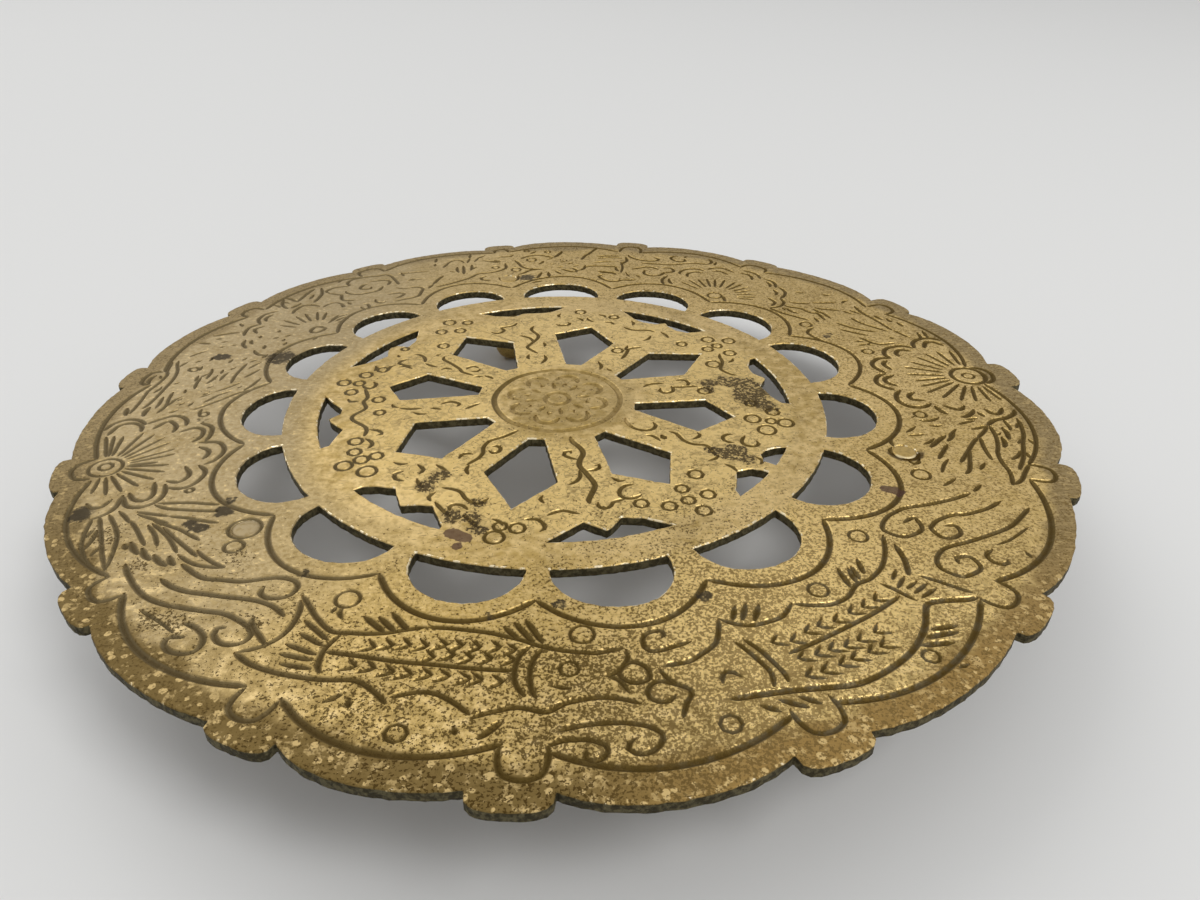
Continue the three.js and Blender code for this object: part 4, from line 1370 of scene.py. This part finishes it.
def is_flat(face):
    """Whether a face is part of the plate's flat top or underside."""
    return abs(face.normal.z) > FLAT


def is_long_outline(edge):
    """Whether an edge is part of a sawn outline and long enough to be halved."""
    longest, sharpness = 1.1 * MM, math.radians(60)
    start, end = (corner.co for corner in edge.verts)
    level = abs(start.z - end.z) < LEVEL
    sharp = len(edge.link_faces) == 2 and edge.calc_face_angle() > sharpness
    return level and sharp and edge.calc_length() > longest


def select_where(plate, kind, wanted):
    """Selects the plate's edges or faces that pass a test. The plate is in edit mode."""
    bpy.ops.mesh.select_all(action="DESELECT")
    work = bmesh.from_edit_mesh(plate.data)
    for part in getattr(work, kind):
        part.select_set(wanted(part))
    bmesh.update_edit_mesh(plate.data)


def shift_corners(plate):
    """Moves every corner of the outlines a little, and those of the rim only inwards."""
    longest_shift, share_of_room, rim_start = 0.08 * MM, 0.1, 84 * MM
    chance = random.Random(5)
    work = bmesh.from_edit_mesh(plate.data)
    shifts = {}
    for corner in work.verts:
        room = min(edge.calc_length() for edge in corner.link_edges)
        most = min(longest_shift, room * share_of_room)
        reach = corner.co.xy.length
        if reach > rim_start:
            shifts[corner] = corner.co.xy / reach * chance.uniform(-2, 0) * most
        else:
            shifts[corner] = Vector((chance.uniform(-1, 1), chance.uniform(-1, 1))) * most
    for corner, shift in shifts.items():
        corner.co.x += shift.x
        corner.co.y += shift.y
    bmesh.update_edit_mesh(plate.data)


def roughen_edges(plate):
    """Makes the sawn outlines slightly uneven, as a hand-held saw and file leave them."""
    halvings = 5
    bpy.ops.object.mode_set(mode="EDIT")
    bpy.ops.mesh.select_mode(type="EDGE")
    for _ in range(halvings):
        select_where(plate, "edges", is_long_outline)
        bpy.ops.mesh.subdivide(number_cuts=1)
    bpy.ops.mesh.select_mode(type="FACE")
    select_where(plate, "faces", is_flat)
    bpy.ops.mesh.delete(type="FACE")
    shift_corners(plate)
    bpy.ops.mesh.select_mode(type="EDGE")
    for height in (PLATE_TOP, PLATE_UNDERSIDE):
        select_where(plate, "edges", lambda edge: all(
            abs(corner.co.z - height) < LEVEL for corner in edge.verts))
        bpy.ops.mesh.fill()
    bpy.ops.mesh.select_all(action="SELECT")
    bpy.ops.mesh.normals_make_consistent(inside=False)
    bpy.ops.mesh.dissolve_limited(angle_limit=math.radians(0.1))
    bpy.ops.mesh.select_mode(type="VERT")
    bpy.ops.object.mode_set(mode="OBJECT")


def mark_walls(plate):
    """An attribute that is 1 on the sawn walls and their rounded edges, for the material."""
    walls = plate.data.attributes.new("sawn", "FLOAT", "FACE")
    for face in plate.data.polygons:
        walls.data[face.index].value = float(not is_flat(face))


def keep_faces_flat(plate):
    """Marks every edge round the plate's two flat faces as sharp."""
    work = bmesh.new()
    work.from_mesh(plate.data)
    for edge in work.edges:
        if len({is_flat(face) for face in edge.link_faces}) == 2:
            edge.smooth = False
    work.to_mesh(plate.data)
    work.free()


class TRIVET_OT_plate(bpy.types.Operator):
    """Make the pierced plate, round its edges and engrave it"""

    bl_idname = "trivet.plate"
    bl_label = "Engraved plate"

    def execute(self, context):
        settings = context.scene.trivet_plate
        plate = copy_of_node("plate", "engraved_plate")
        roughen_edges(plate)
        apply_modifier(
            plate, "BEVEL", width=settings.edge_width, segments=3, limit_method="ANGLE",
            angle_limit=math.radians(60), use_clamp_overlap=False)
        mark_walls(plate)
        engraving = Engraving(settings.groove_width, settings.groove_depth)
        for draw in ORNAMENT:
            draw(engraving)
        engrave(plate, engraving)
        bpy.ops.object.shade_smooth_by_angle(angle=math.radians(26))
        keep_faces_flat(plate)
        plate.data.materials.clear()
        plate.data.materials.append(brass_material(context.scene.trivet_colours))
        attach(plate, "root")
        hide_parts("plate")
        return {"FINISHED"}


def foot_profile(settings):
    """Radius and height of each turned ring, from the pad on the table to the rivet's head."""
    pad, pad_middle = 1.6 * MM, 1.2 * MM
    collar, collar_height, collar_edge = 3.1 * MM, 1 * MM, 0.25 * MM
    tenon = 1.5 * MM
    ball_steps, neck_steps, hollowness = 24, 16, 0.7

    ball_middle = math.sqrt(settings.ball ** 2 - pad ** 2)
    neck_foot = ball_middle + math.sqrt(settings.ball ** 2 - settings.neck ** 2)
    collar_foot = PLATE_UNDERSIDE - collar_height
    low = math.atan2(-ball_middle, pad)
    high = math.atan2(neck_foot - ball_middle, settings.neck)
    rings = [(pad_middle, 0.0)]
    for i in range(ball_steps + 1):
        turn = low + (high - low) * i / ball_steps
        across, up = settings.ball * math.cos(turn), settings.ball * math.sin(turn)
        rings.append((across, ball_middle + up))
    for i in range(1, neck_steps):
        share = i / neck_steps
        hollow = (settings.neck - settings.waist) * math.sin(math.pi * share) ** hollowness
        rings.append((settings.neck - hollow, neck_foot + (collar_foot - neck_foot) * share))
    rings += [
        (settings.neck, collar_foot), (collar - collar_edge, collar_foot),
        (collar, collar_foot + collar_edge), (collar, PLATE_UNDERSIDE - collar_edge),
        (collar - collar_edge, PLATE_UNDERSIDE), (tenon, PLATE_UNDERSIDE),
    ]
    # The countersunk head: radius, and depth below the plate's top in mm
    head = (
        (tenon, 0.85), (settings.head, 0.42), (settings.head - 0.06 * MM, 0.24),
        (settings.head - 0.22 * MM, 0.1), (settings.head * 0.75, 0.04), (settings.head * 0.4, 0),
    )
    return rings + [(radius, PLATE_TOP - depth * MM) for radius, depth in head]


def turned_foot(settings, axis):
    """A foot turned in one piece, ring over ring, on an upright axis."""
    foot_sides = 64
    rings = foot_profile(settings)
    bpy.ops.object.select_all(action="DESELECT")
    bpy.ops.mesh.primitive_circle_add(
        vertices=foot_sides, radius=rings[0][0], fill_type="NGON",
        location=(axis.x, axis.y, rings[0][1]))
    bpy.ops.object.mode_set(mode="EDIT")
    for (last_radius, last_height), (radius, height) in zip(rings, rings[1:]):
        bpy.ops.mesh.extrude_region_move(
            TRANSFORM_OT_translate={"value": (0, 0, height - last_height)})
        bpy.ops.transform.resize(
            value=(radius / last_radius, radius / last_radius, 1),
            center_override=(axis.x, axis.y, height))
    bpy.ops.mesh.select_all(action="SELECT")
    bpy.ops.mesh.normals_make_consistent(inside=False)
    bpy.ops.object.mode_set(mode="OBJECT")
    bpy.ops.object.transform_apply(location=True, rotation=True, scale=True)
    bpy.ops.object.shade_smooth_by_angle(angle=math.radians(40))
    return bpy.context.object


class TRIVET_OT_feet(bpy.types.Operator):
    """Turn a ball foot with its rivet, and copy it to the three places"""

    bl_idname = "trivet.feet"
    bl_label = "Ball feet"

    def execute(self, context):
        first = turned_foot(context.scene.trivet_feet, RIGHT_RIVET)
        first.data.materials.append(turned_material(context.scene.trivet_colours))
        feet = [first]
        for axis in list(FOOT_AXES.values())[1:]:
            select_only(first)
            bpy.ops.object.duplicate()
            bpy.ops.transform.translate(value=axis - RIGHT_RIVET)
            bpy.ops.object.transform_apply(location=True, rotation=True, scale=True)
            feet.append(bpy.context.object)
        for foot, node in zip(feet, FOOT_AXES):
            foot.name = "turned_" + node
            foot.data.name = foot.name
            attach(foot, "root")
            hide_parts(node)
        return {"FINISHED"}


def build_floor(colour):
    bpy.ops.object.select_all(action="DESELECT")
    bpy.ops.mesh.primitive_plane_add(size=8)
    floor = bpy.context.object
    floor.name = "floor"
    s = Shader("floor")
    s.bsdf.inputs["Base Color"].default_value = (*colour, 1)
    s.bsdf.inputs["Roughness"].default_value = 0.6
    floor.data.materials.append(s.material)


def light_scene(scene):
    """A pale grey world and two square lamps that face the trivet."""
    world = bpy.data.worlds.new("studio")
    scene.world = world
    world.use_nodes = True
    background = world.node_tree.nodes["Background"]
    background.inputs["Color"].default_value = (0.9, 0.9, 0.9, 1)
    background.inputs["Strength"].default_value = 0.75
    for name, place, size, power in (
        ("key", (-0.8, 0.75, 1.25), 1.2, 5.3),
        ("fill", (0.6, -0.5, 1.05), 0.45, 4.8),
    ):
        lamp = bpy.data.lights.new(name, "AREA")
        lamp.energy = power
        lamp.size = size
        light = bpy.data.objects.new(name, lamp)
        light.location = place
        light.rotation_euler = (-Vector(place)).to_track_quat("-Z", "Y").to_euler()
        scene.collection.objects.link(light)


def place_camera(scene, lens):
    """The photo's camera. It looks at a point on the plate's top, from above and in front."""
    looked_at = plain(92.435, -205.983)
    distance_in_radii = 1.742513
    tilt, roll = math.radians(32.21185), math.radians(0.49720)

    camera = bpy.data.objects.new("camera", bpy.data.cameras.new("camera"))
    camera.data.lens = lens
    camera.data.sensor_width = 36
    camera.data.clip_start = 10 * MM
    ahead = Vector((0, math.cos(tilt), -math.sin(tilt)))
    level = Vector((1, 0, 0))
    rise = level.cross(ahead)
    right = level * math.cos(roll) + rise * math.sin(roll)
    above = rise * math.cos(roll) - level * math.sin(roll)
    spot = Vector((*looked_at, PLATE_TOP)) - ahead * distance_in_radii * PLATE_RADIUS
    turn = Matrix((right, above, -ahead)).transposed().to_4x4()
    camera.matrix_world = Matrix.Translation(spot) @ turn
    scene.collection.objects.link(camera)
    scene.camera = camera


class TRIVET_OT_stage(bpy.types.Operator):
    """Make the floor, the lights and the camera"""

    bl_idname = "trivet.stage"
    bl_label = "Stage"

    def execute(self, context):
        settings = context.scene.trivet_stage
        build_floor(settings.floor)
        light_scene(context.scene)
        place_camera(context.scene, settings.lens)
        context.scene.view_settings.view_transform = "Standard"
        return {"FINISHED"}


class TRIVET_PT_panel(bpy.types.Panel):
    """The trivet's settings and pieces"""

    bl_idname = "TRIVET_PT_panel"
    bl_label = "Brass trivet"
    bl_space_type = "VIEW_3D"
    bl_region_type = "UI"
    bl_category = "Trivet"

    def draw(self, context):
        for group, title, operator in (
            ("trivet_plate", "Plate", TRIVET_OT_plate), ("trivet_feet", "Feet", TRIVET_OT_feet),
            ("trivet_colours", "Colours", None), ("trivet_stage", "Stage", TRIVET_OT_stage),
        ):
            box = self.layout.box()
            box.label(text=title)
            for name in GROUPS[group].__annotations__:
                box.prop(getattr(context.scene, group), name)
            if operator:
                box.operator(operator.bl_idname)


GROUPS = {
    "trivet_plate": TrivetPlateSettings,
    "trivet_feet": TrivetFeetSettings,
    "trivet_colours": TrivetColourSettings,
    "trivet_stage": TrivetStageSettings,
}
OPERATORS = (TRIVET_OT_stage, TRIVET_OT_plate, TRIVET_OT_feet)
CLASSES = (*GROUPS.values(), *OPERATORS, TRIVET_PT_panel)


def register():
    for made in CLASSES:
        bpy.utils.register_class(made)
    for name, group in GROUPS.items():
        setattr(bpy.types.Scene, name, PointerProperty(type=group))


def unregister():
    for name in GROUPS:
        delattr(bpy.types.Scene, name)
    for made in reversed(CLASSES):
        bpy.utils.unregister_class(made)


def main():
    register()
    bpy.ops.trivet.stage()
    bpy.ops.trivet.plate()
    bpy.ops.trivet.feet()


if __name__ == "__main__":
    main()
